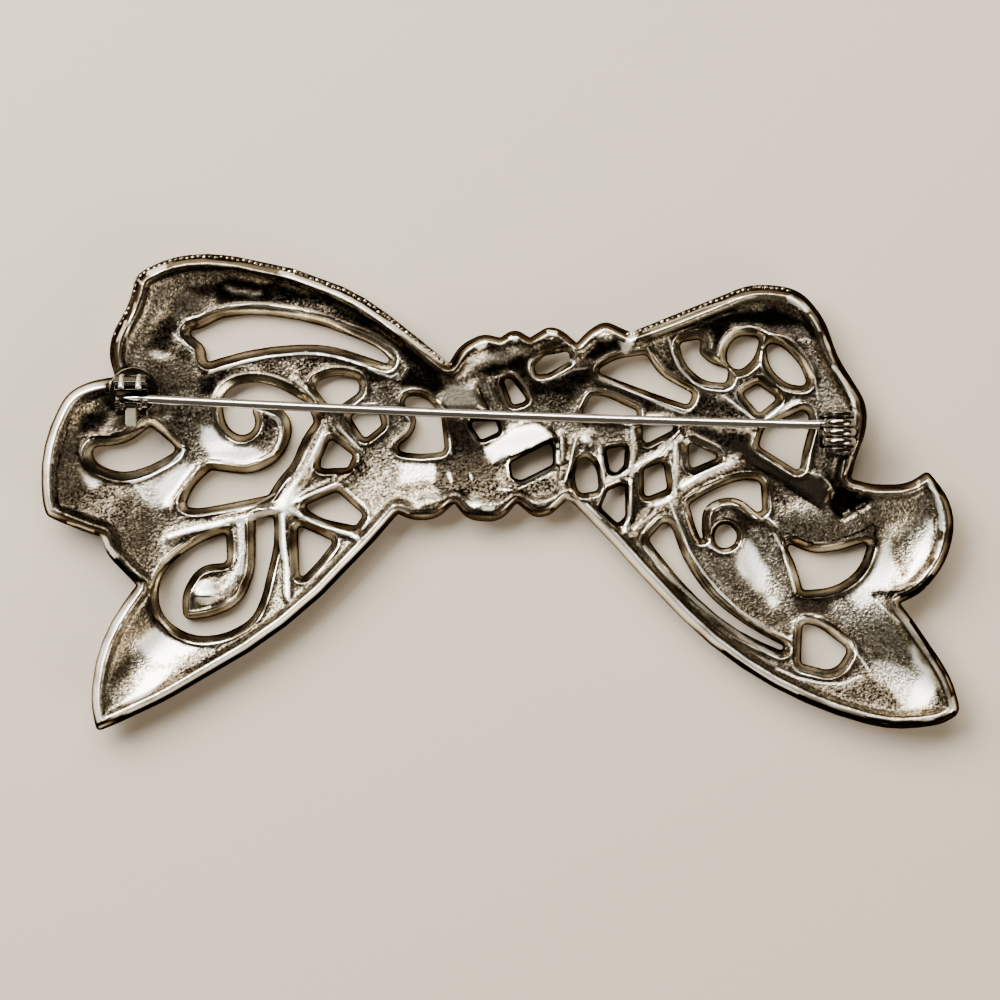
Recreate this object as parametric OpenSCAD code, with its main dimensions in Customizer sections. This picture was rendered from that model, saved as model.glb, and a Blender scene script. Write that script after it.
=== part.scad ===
/* [Bow casting] */
// Width of the whole bow, tip to tip
bow_w = 86; // [84:0.5:88]
// Height of the front surface above the table at the outline
front_edge = 1.9; // [1.4:0.1:2.2]
// Thickness of the metal under the troughs
floor_t = 1.35; // [1.2:0.05:1.6]
// Height of the back surface just inside the rim
back_edge = 2.85; // [2.5:0.05:3]
// Height of the rim above the table
rim_top = 3.5; // [3.3:0.05:3.7]
// Distance from the outline to the rim's outer side
rim_out = 0.45; // [0.3:0.05:0.6]
// Width of the rim
rim_w = 1.05; // [0.9:0.05:1.2]
// How far the dish takes to fall away from the rim
dish_run = 3.4; // [3:0.1:4]
// Lift of the far ends of the loops and tails
end_lift = 0.45; // [0.2:0.05:0.6]
// Depth of the folds between ribbons, on the front
fold_depth = 0.8; // [0.4:0.1:0.9]
// Growth of every pierced gap from its front edge to its mean wall
pierce_grow = 0.2; // [0.1:0.05:0.25]

/* [Pin stem] */
// Diameter of the stem
stem_d = 0.85; // [0.8:0.05:0.9]
// Height of the stem above the table
stem_z = 5.2; // [5.1:0.05:5.3]
// Length of the straight stretch that takes the cloth
grip_len = 60; // [58:1:61]
// Length of the sharpened point
point_len = 1; // [0.8:0.1:1.5]
// Diameter of the wire in the coil
coil_wire = 0.9; // [0.88:0.01:0.92]
// Outer diameter of the coil
coil_d = 3.15; // [3.1:0.05:3.2]

/* [Hinge] */
// Thickness of each ear
ear_t = 0.45; // [0.4:0.05:0.5]
// Width of an ear round the rivet
ear_w = 2.9; // [2.7:0.1:3]
// Running clearance of the coil on the rivet, on the radius
rivet_gap = 0.06; // [0.04:0.01:0.08]
// Thickness of the base plates of bracket and catch
base_t = 0.5; // [0.4:0.05:0.55]

/* [Catch] */
// Inner radius of the hoop
hoop_r = 1.4; // [1.38:0.01:1.42]
// Thickness of the hoop's wall
hoop_t = 0.6; // [0.5:0.05:0.65]
// Length of the hoop along the stem
hoop_len = 3; // [2.8:0.1:3.2]
// Running clearance of the roller in the hoop, on the radius
roller_gap = 0.05; // [0.03:0.01:0.08]
// Width of the slot in the roller
slot_w = 1.36; // [1.3:0.02:1.4]
// Reach of the thumb lever from the roller's axis
lever_reach = 2.9; // [2.6:0.1:3]
// Width of the thumb lever along the stem
lever_w = 1.05; // [0.9:0.05:1.1]
// Thickness of the thumb lever
lever_t = 0.7; // [0.6:0.05:0.75]

/* [Hidden] */
// Smoothness of the round parts
$fn = 48;
// Gap left between pieces that are soldered or riveted together
seat_gap = 0.05;
// Height of the flat pads that carry the bracket and the catch
pad_z = 3;
// A rounding radius that stands for as round as the two sides allow
SOFT = 99;

// Outline of the bow, counter-clockwise from the left side of the knot.
// Columns: x, y, rounding radius of the corner
LOOP_LEFT = [
    [-4.8, 12, 0.1], [-8.6, 15.1, SOFT], [-12.6, 18.2, SOFT], [-17, 20.2, SOFT],
    [-22, 21.6, SOFT], [-27.5, 22.4, SOFT], [-31.2, 21.9, SOFT], [-34.2, 20.4, 2],
    [-34.9, 17.4, SOFT], [-36.5, 14.8, SOFT], [-36.8, 12.6, SOFT], [-36.2, 10.7, 0.1],
];
LOBE_LEFT = [
    [-38.6, 10.3, SOFT], [-40.7, 9.2, SOFT], [-42.4, 6, SOFT], [-43.2, 2.4, SOFT],
    [-43, -1.2, SOFT], [-42.6, -2.4, 0.8], [-40, -3.6, SOFT], [-37.4, -4.4, 0.2],
    [-37, -6, SOFT], [-34.2, -8.9, 0.1],
];
TAIL_LEFT = [
    [-36.6, -12.2, SOFT], [-38.1, -16, SOFT], [-38.5, -20, SOFT], [-37.9, -22.7, 0.4],
    [-34, -21.1, SOFT], [-27, -17.4, SOFT], [-20, -12.9, SOFT], [-14, -7.3, SOFT],
    [-9.6, -2.2, 0.1],
];
KNOT_BOTTOM = [
    [-8.3, -2.8, SOFT], [-6, -2.8, SOFT], [-4.3, -1.2, 0.1], [-3.1, -2.8, SOFT],
    [0, -3, SOFT], [1.6, -1.2, 0.1], [3.2, -2.6, SOFT], [4.7, -2.4, SOFT],
    [6.4, -0.8, 0.1],
];
TAIL_RIGHT = [
    [9.4, -3.7, SOFT], [14.4, -9.3, SOFT], [19.6, -14.6, SOFT], [25.6, -18.6, SOFT],
    [31.5, -21.2, SOFT], [37, -22.6, SOFT], [41.6, -22, SOFT], [43.3, -20.9, 1],
    [42.6, -17.9, SOFT], [40.2, -14, SOFT], [37.6, -10.6, 0.1],
];
LOBE_RIGHT = [
    [39.6, -9.7, SOFT], [42, -6.8, SOFT], [42.8, -3.2, SOFT], [42.2, -0.6, SOFT],
    [40.2, 1.9, 0.5], [38.3, 0.6, SOFT], [35, 0.55, SOFT], [33, 1.1, 0.2],
];
LOOP_RIGHT = [
    [33.4, 2.9, SOFT], [34.5, 5.6, SOFT], [34.5, 8.2, SOFT], [33, 10.6, SOFT],
    [31.6, 12.8, SOFT], [30.6, 16.2, SOFT], [28.2, 18.9, SOFT], [25.4, 19.4, SOFT],
    [23.2, 19.3, SOFT], [18, 17.2, SOFT], [12.3, 14.9, 0.1],
];
KNOT_TOP = [
    [11.2, 15.4, SOFT], [9.9, 16, SOFT], [8.4, 15.2, SOFT], [7.2, 13.9, 0.1],
    [5.9, 15.1, SOFT], [4.6, 15.5, SOFT], [2.8, 14.4, 0.1], [1.4, 15.3, SOFT],
    [0, 14.4, 0.1], [-1.6, 14.8, SOFT], [-3.8, 13.7, SOFT],
];
OUTLINE = concat(LOOP_LEFT, LOBE_LEFT, TAIL_LEFT, KNOT_BOTTOM,
                 TAIL_RIGHT, LOBE_RIGHT, LOOP_RIGHT, KNOT_TOP);

// Pierced gaps at the front edge of their walls. Columns as for the outline
WINDOWS_LEFT = [
    // Long window of the loop
    [[-29.6, 15, 0.3], [-28.1, 15.3, SOFT], [-26.6, 16.2, SOFT], [-23.6, 16.7, SOFT],
     [-19, 16.2, SOFT], [-14.4, 14.8, SOFT], [-11.2, 13.3, SOFT], [-9.9, 11.7, 0.5],
     [-12.6, 12.7, SOFT], [-16.5, 13.9, SOFT], [-21.5, 13.7, SOFT], [-25.4, 12.9, SOFT],
     [-27.7, 12.1, 0.3], [-27.8, 13.6, SOFT]],
    // Field round the curled hook
    [[-26.3, 8.6, SOFT], [-25.3, 9.8, SOFT], [-23.3, 10.3, SOFT], [-21.2, 9.9, SOFT],
     [-18.2, 8.2, 0.6], [-17.6, 6.5, 0.5], [-18.8, 4.9, SOFT], [-19.6, 2.6, SOFT],
     [-21, 1.1, SOFT], [-21.9, -0.4, 0.3], [-25, -1.1, SOFT], [-28.6, -1.7, SOFT],
     [-29.8, -1.5, 0.4], [-28.9, 0.5, SOFT], [-27.3, 1.9, 0.5], [-23.2, 1.4, SOFT],
     [-20.4, 3.2, SOFT], [-19.5, 5.8, SOFT], [-20.2, 7.6, SOFT], [-22.2, 8.3, SOFT],
     [-23.6, 7.8, 0.6], [-22.9, 6.2, SOFT], [-24.2, 5, SOFT], [-25.9, 6, SOFT]],
    // Eye of the lobe
    [[-38.6, 4.1, 0.8], [-35.3, 4.3, SOFT], [-33, 6.1, 0.5], [-30.4, 3.9, 0.5],
     [-33, 2.3, SOFT], [-35.8, 1.6, SOFT], [-38.2, 2.6, SOFT]],
    // Ring round the hooked stem of the tail
    [[-21.4, -2.4, 0.3], [-21.3, -5, SOFT], [-21.9, -7.4, SOFT], [-22.5, -10.2, SOFT],
     [-23.4, -12.1, SOFT], [-26, -13.6, SOFT], [-29.2, -13.8, SOFT], [-31.9, -12, SOFT],
     [-32.3, -9.2, SOFT], [-31.2, -6.9, SOFT], [-28.4, -4.9, SOFT], [-25.9, -4, 0.3],
     [-25.8, -6.8, 0.5], [-28.4, -7, SOFT], [-30.1, -9.6, SOFT], [-29.9, -12.3, 0.8],
     [-27, -12, SOFT], [-24.4, -10.7, SOFT], [-23.1, -7.8, SOFT], [-23.1, -2.6, 0.3]],
    // Lens and the gaps of the star
    [[-17.7, 10, 0.6], [-15.6, 11, SOFT], [-13.3, 10.4, 0.8], [-13.3, 9.3, 0.8],
     [-15.2, 8, 0.6], [-16.3, 8.2, 0.6]],
    [[-14.3, 7.2, 0.4], [-11.5, 7.4, 0.4], [-11.2, 6.2, 0.4], [-12.8, 4.9, 0.4]],
    [[-16, 4.9, 0.3], [-13.9, 3.3, 0.3], [-14.4, 2.2, 0.3], [-17, 2.1, 0.3],
     [-16.9, 3, 0.3]],
    [[-18.6, -1.5, 0.3], [-15.4, -0.1, 0.4], [-12.9, -2.3, 0.4], [-13.6, -3.3, 0.4],
     [-17, -2.6, SOFT]],
    [[-19.1, -3.3, 0.3], [-15.7, -4.8, 0.3], [-17.6, -7.2, SOFT], [-18.9, -8.4, 0.3]],
];
WINDOWS_KNOT = [
    // Left of the knot, its pleats, and the gaps among its gathers
    [[-9.6, 8.6, 0.6], [-7.4, 9.1, SOFT], [-5.6, 7.2, 0.8], [-5.2, 3.7, 0.5],
     [-7.5, 3.4, SOFT], [-10.1, 3.8, 0.4], [-8.2, 5.3, SOFT], [-7.8, 6.8, 0.8]],
    [[0.3, 10.6, 0.3], [1.1, 10.5, 0.3], [2.6, 8.5, 0.3], [1.2, 8.1, 0.3]],
    [[3.2, 11.7, 0.4], [4.2, 12.7, 0.5], [6.5, 13.1, 0.3], [6.6, 12.2, 0.3],
     [4.6, 11.1, 0.5], [3.5, 10.9, 0.4]],
    [[1, 2.6, 0.3], [4.9, 4.6, 0.4], [5, 2.5, 0.5], [2, 1, 0.4], [1.2, 1.2, 0.4]],
    [[-2.9, 6.5, 0.3], [-0.4, 6.6, 0.3], [-0.1, 5.6, 0.3], [-1.8, 4.8, 0.3]],
    [[7.6, 7.1, 0.3], [8.6, 9, 0.6], [10, 8.9, SOFT], [13, 7.5, 0.4], [12.8, 6.7, 0.3]],
];
WINDOWS_LOOP_RIGHT = [
    // Wedge, then the four gaps round the small square, then the gap under the hinge
    [[9, 11.2, 0.3], [10.8, 12.4, SOFT], [13.8, 12.8, 0.5], [15, 10.9, SOFT],
     [18.2, 9.2, 0.4], [17.8, 8.1, 0.4], [14.5, 9.2, SOFT], [11, 10.5, SOFT]],
    [[16.9, 13.9, 0.4], [19, 14.3, 0.3], [18.8, 13, 0.5], [19.8, 12, SOFT],
     [21.6, 11.5, 0.4], [21.4, 10.2, 0.4], [19.3, 10.3, SOFT], [17.4, 12, SOFT]],
    [[21.4, 13.4, SOFT], [22.4, 14.6, SOFT], [24.6, 14.5, 0.5], [24, 12.4, SOFT],
     [22.6, 11.3, SOFT], [21.5, 11.9, SOFT]],
    [[25.1, 13.9, 0.5], [26.6, 13.7, SOFT], [28.4, 11.8, SOFT], [29, 9.9, 0.4],
     [27.2, 10, SOFT], [25.4, 11.6, SOFT]],
    [[22.9, 9.2, 0.3], [24.4, 10, 0.3], [26.2, 8.7, 0.3], [24.5, 7.3, 0.3]],
    [[25, 5.9, 0.6], [28.9, 7.7, 0.5], [29.3, 6.2, SOFT], [28.7, 4.5, SOFT],
     [28.2, 1.8, 0.3], [24.4, 4.2, 0.5]],
];
WINDOWS_TAIL_RIGHT = [
    // Lattice beside the knot
    [[7.9, 3.4, 0.5], [9.1, 2.2, SOFT], [9.3, 0, 0.5], [7.4, -0.3, 0.6], [6.9, 1.6, SOFT]],
    [[10, 3.9, 0.3], [11.8, 4.2, 0.2], [11.7, 2.4, 0.3], [11, 1.7, 0.3], [10.4, 1.9, 0.3]],
    [[10.2, 0, 0.4], [11.8, 0.6, 0.3], [11.8, -2.4, 0.4], [11.1, -3.1, 0.3], [9.5, -1.6, 0.4]],
    [[13.6, 2, 0.4], [15.4, 2.7, 0.3], [15.8, 0.2, 0.3], [13.6, -0.7, 0.4]],
    [[13.5, 6.4, 0.3], [13.5, 4.3, 0.4], [16.6, 5.9, 0.3], [15.8, 6.5, 0.3]],
    [[17.8, 4.6, 0.3], [20.7, 3.2, 0.2], [17.9, 2, 0.4]],
    // Channel beside the tail's rim
    [[14, -4.6, 0.4], [15.6, -2.9, 0.5], [16.3, -3.6, SOFT], [17.2, -6.4, SOFT],
     [19.4, -9.8, SOFT], [23, -12.7, SOFT], [26.8, -14.7, 0.2], [26.6, -15.1, 0.2],
     [22.4, -13.3, SOFT], [18.6, -10.2, SOFT], [15.6, -6.8, SOFT]],
    // Field above the curl, the curl's eye, the crescent and the leaf
    [[17.9, -1.3, 0.4], [19.6, -0.2, SOFT], [22.6, 1, SOFT], [24.6, 0.9, 0.6],
     [24.8, -1.9, 0.3], [24.2, -2, 0.3], [22.6, -0.6, SOFT], [20.6, -0.7, SOFT],
     [19.2, -1.6, SOFT], [19, -3.6, SOFT], [19.3, -5.2, 0.2], [18.5, -3.6, SOFT]],
    [[20.1, -4, SOFT], [21.2, -2.9, SOFT], [22.5, -3.9, SOFT], [22.2, -5.2, SOFT],
     [20.6, -5.6, SOFT]],
    [[26.8, -4.8, 0.3], [29.4, -6, SOFT], [31.8, -5.8, SOFT], [34.8, -4.8, 0.3],
     [34, -7.4, SOFT], [31.6, -9.2, SOFT], [28.6, -9.4, 0.4], [27.9, -6.8, SOFT]],
    [[28.6, -12.6, 0.4], [30, -12.8, SOFT], [32.9, -15, 0.6], [31.6, -17.1, SOFT],
     [28.4, -16.3, 0.3]],
];
WINDOWS = concat(WINDOWS_LEFT, WINDOWS_KNOT, WINDOWS_LOOP_RIGHT, WINDOWS_TAIL_RIGHT);

// Folds between the ribbons. Columns: start, end
FOLDS = [
    [[-34, 9.5], [-7, 9.5]],
    [[10, 6], [33, 1.5]],
    [[-6.5, -2], [-6.5, 14]],
    [[8.5, -2], [8.5, 15]],
];
// Half width of a fold
FOLD_RUN = 1.8;
// Part of a fold's depth that shows on the back
FOLD_BACK = 0.4;
// Distance from the middle at which the ends start to lift, and where the lift is whole
LIFT_FROM = 16;
LIFT_TO = 43;
// Spacing of the net of points under the relief
NET = 2.4;
// Corner of the net, and its number of cells each way
NET_X = -45.6;
NET_Y = -24;
NET_NX = 38;
NET_NY = 20;
// Largest turn between two points of a rounded corner, on the outline and on a gap
OUTLINE_TURN = 28;
GAP_TURN = 40;
// Largest turn between two points of the coarser ring that shapes the dish
DISH_TURN = 60;
// Largest share of a side that one rounded corner takes
CORNER_SHARE = 0.499;
// Share of the end lift that the rim's top follows
RIM_LIFT = 0.5;
// Reach of a cutting or bounding block above the table
TALL = 12;
// How far a cutter passes the faces that it opens
OVERCUT = 1;
// How deep an added block reaches into the plate below it
ROOT = 0.5;
// Clear space round the flat pads, beside the bracket and the catch
PAD_CLEAR = 0.2;

// Bar across the knot, flat and bright. Columns as for the outline
KNOT_BAR = [
    [-1.5, 4, 0.2], [0.5, 5.3, 0.2], [1.4, 6, 0.2], [3.4, 6.5, 0.4], [4.4, 6, 0.4],
    [5.1, 5, 0.2], [-0.4, 2.5, 0.2],
];
// Top of the bar across the knot
KNOT_BAR_TOP = 2.9;

// Centre of the round base of the catch, and its radius
CATCH_BASE = [-34.4, 9.3];
CATCH_BASE_R = 2.3;
// Axis of the catch roller: y, z. The stem lies low in the roller's bore
HOOP_Y = 8.8;
// Place of the hoop along the stem
HOOP_X = -34.45;
// Start and end of the hoop's opening, from the lever's side over the top
MOUTH_FROM = -22;
MOUTH_TO = 130;
// Reach of the wedge that opens the hoop, and the number of its chords
MOUTH_REACH = 6;
MOUTH_CHORDS = 4;

// Axis of the hinge
HINGE_X = 31.6;
COIL_TURNS = 3;
COIL_PITCH = 0.88;
COIL_Y = 6.3;
// The stem's line in plan: y where it leaves the coil, and the place of its tip
STEM_Y = 6.08;
STEM_TIP = [-35.2, 8.66];
// Base plate of the bracket: low corner and high corner in plan
HINGE_BASE = [[29.9, 3.35], [33.25, 7.55]];
// Length of the wire's run from the coil's lowest point to the straight stretch,
// and how much slimmer than the coil it starts
LEAD_LEN = 2.4;
LEAD_SLIM = 0.02;
// Diameter where the point starts, and of the blunt tip
NECK_D = 0.74;
TIP_D = 0.2;
// Clear space between the coil and each ear
EAR_GAP = 0.12;
// Rivet heads
HEAD_D = 2;
HEAD_T = 0.25;

coil_r = (coil_d - coil_wire) / 2;
hinge_z = stem_z + coil_r;
coil_half = ((COIL_TURNS - 1) * COIL_PITCH + coil_wire) / 2;
coil_mid = COIL_Y - (COIL_TURNS - 1) * COIL_PITCH / 2;
rivet_r = coil_r - coil_wire / 2 - rivet_gap;
stem_run = [STEM_TIP[0] - HINGE_X, STEM_TIP[1] - STEM_Y];
stem_len = norm(stem_run);
base_z = pad_z + seat_gap;

// Unit vector along v
function unit(v) = v / norm(v);

// Points of one rounded corner at b, between the neighbours a and c
function corner(a, b, c, r, turn_step) =
    let (p = [a[0], a[1]], q = [b[0], b[1]], s = [c[0], c[1]],
         u = unit(p - q), v = unit(s - q),
         turn = 180 - acos(max(-1, min(1, u * v))),
         reach = min(r * tan(turn / 2), CORNER_SHARE * norm(p - q), CORNER_SHARE * norm(s - q)),
         steps = max(1, ceil(turn / turn_step)),
         radius = reach / max(0.001, tan(turn / 2)),
         middle = q + unit(u + v) * norm([radius, reach]),
         from = q + u * reach - middle, to = q + v * reach - middle)
    [for (k = [0 : steps]) middle + blend(from, to, k / steps, radius)];

// Point on the arc between two spokes of one radius
function blend(from, to, t, radius) = unit(from * (1 - t) + to * t) * radius;

// Closed ring of points through a table of corners
function ring(table, turn_step) =
    let (n = len(table))
    [for (i = [0 : n - 1])
        each corner(table[(i + n - 1) % n], table[i], table[(i + 1) % n],
                    table[i][2], turn_step)];

OUTLINE_RING = ring(OUTLINE, OUTLINE_TURN);
// Coarser ring, for the distances that shape the dish
DISH_RING = ring(OUTLINE, DISH_TURN);

// Distance from point p to the stretch a to b
function off_stretch(p, a, b) =
    let (ab = b - a, t = max(0, min(1, (p - a) * ab / (ab * ab))))
    norm(p - a - t * ab);

// Number of sides of the ring that a ray from p crosses
function crossings(p, ring, i = 0, found = 0) =
    i >= len(ring) ? found :
    let (a = ring[i], b = ring[(i + 1) % len(ring)],
         cuts = (a[1] > p[1]) != (b[1] > p[1])
                && p[0] < (b[0] - a[0]) * (p[1] - a[1]) / (b[1] - a[1]) + a[0])
    crossings(p, ring, i + 1, found + (cuts ? 1 : 0));

// Distance from the outline to a point inside it, and 0 outside
function inside_by(p, ring) =
    crossings(p, ring) % 2 == 0 ? 0 :
    min([for (i = [0 : len(ring) - 1]) off_stretch(p, ring[i], ring[(i + 1) % len(ring)])]);

// Smooth rise from 0 to 1 as t goes from 0 to 1
function ease(t) = let (k = max(0, min(1, t))) k * k * (3 - 2 * k);

// Share of the dish's depth, of the folds and of the lift at point p
function dish_at(p) = 1 - exp(-pow(inside_by(p, DISH_RING) / dish_run, 2));
function fold_at(p) = max([for (f = FOLDS) exp(-pow(off_stretch(p, f[0], f[1]) / FOLD_RUN, 2))]);
function lift_at(p) = end_lift * ease((abs(p[0]) - LIFT_FROM) / (LIFT_TO - LIFT_FROM));

NET_POINTS = [for (j = [0 : NET_NY]) for (i = [0 : NET_NX]) [NET_X + i * NET, NET_Y + j * NET]];
DISH = [for (p = NET_POINTS) dish_at(p)];
FOLD = [for (p = NET_POINTS) fold_at(p)];
LIFT = [for (p = NET_POINTS) lift_at(p)];
NET_LAST = len(NET_POINTS) - 1;

// Heights of the front, of the back's troughs, of a level between them and of the rim
FRONT = [for (k = [0 : NET_LAST])
    front_edge * (1 - DISH[k]) + fold_depth * FOLD[k] * DISH[k] + LIFT[k]];
BACK = [for (k = [0 : NET_LAST])
    back_edge + (floor_t - back_edge) * DISH[k] + FOLD_BACK * fold_depth * FOLD[k] * DISH[k]
    + LIFT[k]];
CORE = (FRONT + BACK) / 2;
RIM = [for (k = [0 : NET_LAST]) rim_top + LIFT[k] * RIM_LIFT];

// Solid between two sets of heights over the net
module slab(low, high) {
    n = NET_NX + 1;
    size = len(NET_POINTS);
    points = concat([for (k = [0 : NET_LAST]) [NET_POINTS[k][0], NET_POINTS[k][1], high[k]]],
                    [for (k = [0 : NET_LAST]) [NET_POINTS[k][0], NET_POINTS[k][1], low[k]]]);
    cells = [for (j = [0 : NET_NY - 1]) for (i = [0 : NET_NX - 1]) j * n + i];
    rim_path = concat([for (i = [0 : NET_NX - 1]) i],
                      [for (j = [0 : NET_NY - 1]) j * n + NET_NX],
                      [for (i = [NET_NX : -1 : 1]) NET_NY * n + i],
                      [for (j = [NET_NY : -1 : 1]) j * n]);
    faces = concat(
        [for (c = cells) each [[c, c + n, c + n + 1], [c, c + n + 1, c + 1]]],
        [for (c = cells) each [[c + size, c + n + 1 + size, c + n + size],
                               [c + size, c + 1 + size, c + n + 1 + size]]],
        [for (k = [0 : len(rim_path) - 1])
            let (a = rim_path[k], b = rim_path[(k + 1) % len(rim_path)])
            each [[a, b, b + size], [a, b + size, a + size]]]);
    polyhedron(points, faces);
}

module silhouette() polygon(OUTLINE_RING);

module windows() {
    for (w = WINDOWS) offset(delta = pierce_grow) polygon(ring(w, GAP_TURN));
}

module rim_band() {
    difference() {
        offset(delta = -rim_out) silhouette();
        offset(delta = -rim_out - rim_w) silhouette();
    }
}

// Footprints of the catch and of the bracket, grown by a margin
module footprints(margin) {
    translate(CATCH_BASE) circle(r = CATCH_BASE_R + margin);
    translate(HINGE_BASE[0] - [margin, margin])
        square(HINGE_BASE[1] - HINGE_BASE[0] + 2 * [margin, margin]);
}

// Cast bow: dished plate, rim, flat pads, and the bar across the knot
module bow() {
    color("silver")
    resize([bow_w, 0, 0], auto = true)
    difference() {
        union() {
            intersection() {
                slab(FRONT, BACK);
                linear_extrude(TALL) silhouette();
            }
            intersection() {
                slab(CORE, RIM);
                linear_extrude(TALL) rim_band();
            }
            intersection() {
                translate([0, 0, floor_t]) linear_extrude(pad_z - floor_t) footprints(0);
                linear_extrude(TALL) silhouette();
            }
            translate([0, 0, floor_t - ROOT])
                linear_extrude(KNOT_BAR_TOP - floor_t + ROOT) polygon(ring(KNOT_BAR, GAP_TURN));
        }
        translate([0, 0, -OVERCUT]) linear_extrude(TALL) windows();
        translate([0, 0, pad_z]) linear_extrude(TALL) footprints(PAD_CLEAR);
    }
}

// One ear of the hinge bracket, low y side at y
module ear(y) {
    difference() {
        union() {
            translate([HINGE_X, y, hinge_z]) rotate([-90, 0, 0]) cylinder(d = ear_w, h = ear_t);
            translate([HINGE_X - ear_w / 2, y, base_z]) cube([ear_w, ear_t, hinge_z - base_z]);
        }
        translate([HINGE_X, y - OVERCUT, hinge_z]) rotate([-90, 0, 0])
            cylinder(r = rivet_r + seat_gap, h = ear_t + 2 * OVERCUT);
    }
}

module hinge_bracket() {
    color("gainsboro") {
        translate([HINGE_BASE[0][0], HINGE_BASE[0][1], base_z])
            linear_extrude(base_t) square(HINGE_BASE[1] - HINGE_BASE[0]);
        ear(coil_mid - coil_half - EAR_GAP - ear_t);
        ear(coil_mid + coil_half + EAR_GAP);
    }
}

module hinge_rivet() {
    reach = coil_half + EAR_GAP + ear_t + seat_gap;
    color("silver")
    translate([HINGE_X, coil_mid, hinge_z]) rotate([-90, 0, 0]) {
        translate([0, 0, -reach - HEAD_T]) cylinder(r = rivet_r, h = 2 * (reach + HEAD_T));
        for (side = [0, 1]) mirror([0, 0, side]) translate([0, 0, reach]) cylinder(d = HEAD_D, h = HEAD_T);
    }
}

// Steel wire: coil round the rivet, straight stem, sharpened point
module pin_stem() {
    color("lightsteelblue") {
        translate([HINGE_X, COIL_Y, hinge_z]) rotate([90, 0, 0])
            rotate_extrude()
            for (k = [0 : COIL_TURNS - 1]) translate([coil_r, k * COIL_PITCH]) circle(d = coil_wire);
        translate([HINGE_X, STEM_Y, stem_z])
            rotate([0, 0, atan2(stem_run[1], stem_run[0])]) rotate([0, 90, 0]) {
                cylinder(d1 = coil_wire - LEAD_SLIM, d2 = stem_d, h = LEAD_LEN);
                translate([0, 0, LEAD_LEN]) cylinder(d = stem_d, h = grip_len);
                translate([0, 0, LEAD_LEN + grip_len])
                    cylinder(d1 = stem_d, d2 = NECK_D, h = stem_len - point_len - LEAD_LEN - grip_len);
                translate([0, 0, stem_len - point_len])
                    cylinder(d1 = NECK_D, d2 = TIP_D, h = point_len);
            }
    }
}

// Wedge about the roller's axis from angle a to angle b, lever side 0, top 90
module mouth(a, b) {
    step = (b - a) / MOUTH_CHORDS;
    rotate([90, 0, -90])
        linear_extrude(hoop_len + 2 * OVERCUT, center = true)
        polygon(concat([[0, 0]],
                       [for (k = [0 : MOUTH_CHORDS])
                           MOUTH_REACH * [cos(a + k * step), sin(a + k * step)]]));
}

module catch_body() {
    color("gainsboro") {
        translate([CATCH_BASE[0], CATCH_BASE[1], base_z]) cylinder(r = CATCH_BASE_R, h = base_t);
        translate([HOOP_X, HOOP_Y, stem_z])
            difference() {
                rotate([0, 90, 0]) cylinder(r = hoop_r + hoop_t, h = hoop_len, center = true);
                rotate([0, 90, 0]) cylinder(r = hoop_r, h = hoop_len + 2 * OVERCUT, center = true);
                mouth(MOUTH_FROM, MOUTH_TO);
                translate([0, 0, base_z - stem_z - TALL / 2]) cube(TALL, center = true);
            }
    }
}

module catch_roller() {
    color("whitesmoke")
    translate([HOOP_X, HOOP_Y, stem_z])
        difference() {
            union() {
                rotate([0, 90, 0]) cylinder(r = hoop_r - roller_gap, h = hoop_len, center = true);
                translate([-lever_w / 2, -lever_reach, -lever_t / 2])
                    cube([lever_w, lever_reach, lever_t]);
            }
            rotate([0, 90, 0]) cylinder(d = slot_w, h = hoop_len + 2 * OVERCUT, center = true);
            translate([-hoop_len, -slot_w / 2, 0]) cube([2 * hoop_len, slot_w, hoop_r + OVERCUT]);
        }
}

bow();
hinge_bracket();
hinge_rivet();
pin_stem();
catch_body();
catch_roller();
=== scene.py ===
"""Bow brooch lying face down: the cast bow, its milgrain edge, the pin and the catch."""

import logging
import math
from collections.abc import Callable, Sequence
from dataclasses import astuple, dataclass, field
from enum import Enum
from itertools import chain

import bmesh
import bpy
import numpy as np
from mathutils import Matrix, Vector
from mathutils.geometry import delaunay_2d_cdt


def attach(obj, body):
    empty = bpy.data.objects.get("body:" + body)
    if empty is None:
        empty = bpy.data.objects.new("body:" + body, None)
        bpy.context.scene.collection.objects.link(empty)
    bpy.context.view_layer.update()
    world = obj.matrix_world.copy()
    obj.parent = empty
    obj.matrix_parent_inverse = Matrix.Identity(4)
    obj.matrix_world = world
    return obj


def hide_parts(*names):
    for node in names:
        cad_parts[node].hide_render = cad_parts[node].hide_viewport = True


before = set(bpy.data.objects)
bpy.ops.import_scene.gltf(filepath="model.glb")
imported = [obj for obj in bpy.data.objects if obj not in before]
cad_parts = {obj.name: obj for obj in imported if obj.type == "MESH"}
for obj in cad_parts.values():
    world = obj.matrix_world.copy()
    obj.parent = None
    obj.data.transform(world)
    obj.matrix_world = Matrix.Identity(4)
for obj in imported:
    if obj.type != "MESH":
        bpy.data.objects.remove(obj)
log = logging.getLogger("bow_brooch")

MM = 0.001
# Rounding radius of a corner that has none of its own: as round as its neighbours allow
SOFT = 99.0
# Least angle, in degrees, of an edge that is rounded
ROUNDED_FROM = 35.0
# What a change of values covers when it covers every point
ALL = slice(None)

# The bases of the findings on the casting, in millimetres: the sides of the hinge's, the middle and
# radius of the catch's, and the height and thickness of both
HINGE_BASE = (29.9, 3.35, 33.25, 7.55)
CATCH_BASE = (-34.4, 9.3, 2.3)
BASE_Z = 3.05
BASE_T = 0.5

Corner = tuple[float, ...]
Table = list[Corner]
Way = tuple[tuple[float, float], ...]
Field = tuple[float, float, float, Way]
Line = tuple[float, float, Way]
Array = np.ndarray
Mesh = tuple[Array, list[list[int]]]
Piece = bpy.types.Object
Finish = bpy.types.Material
Tree = bpy.types.NodeTree
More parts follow.
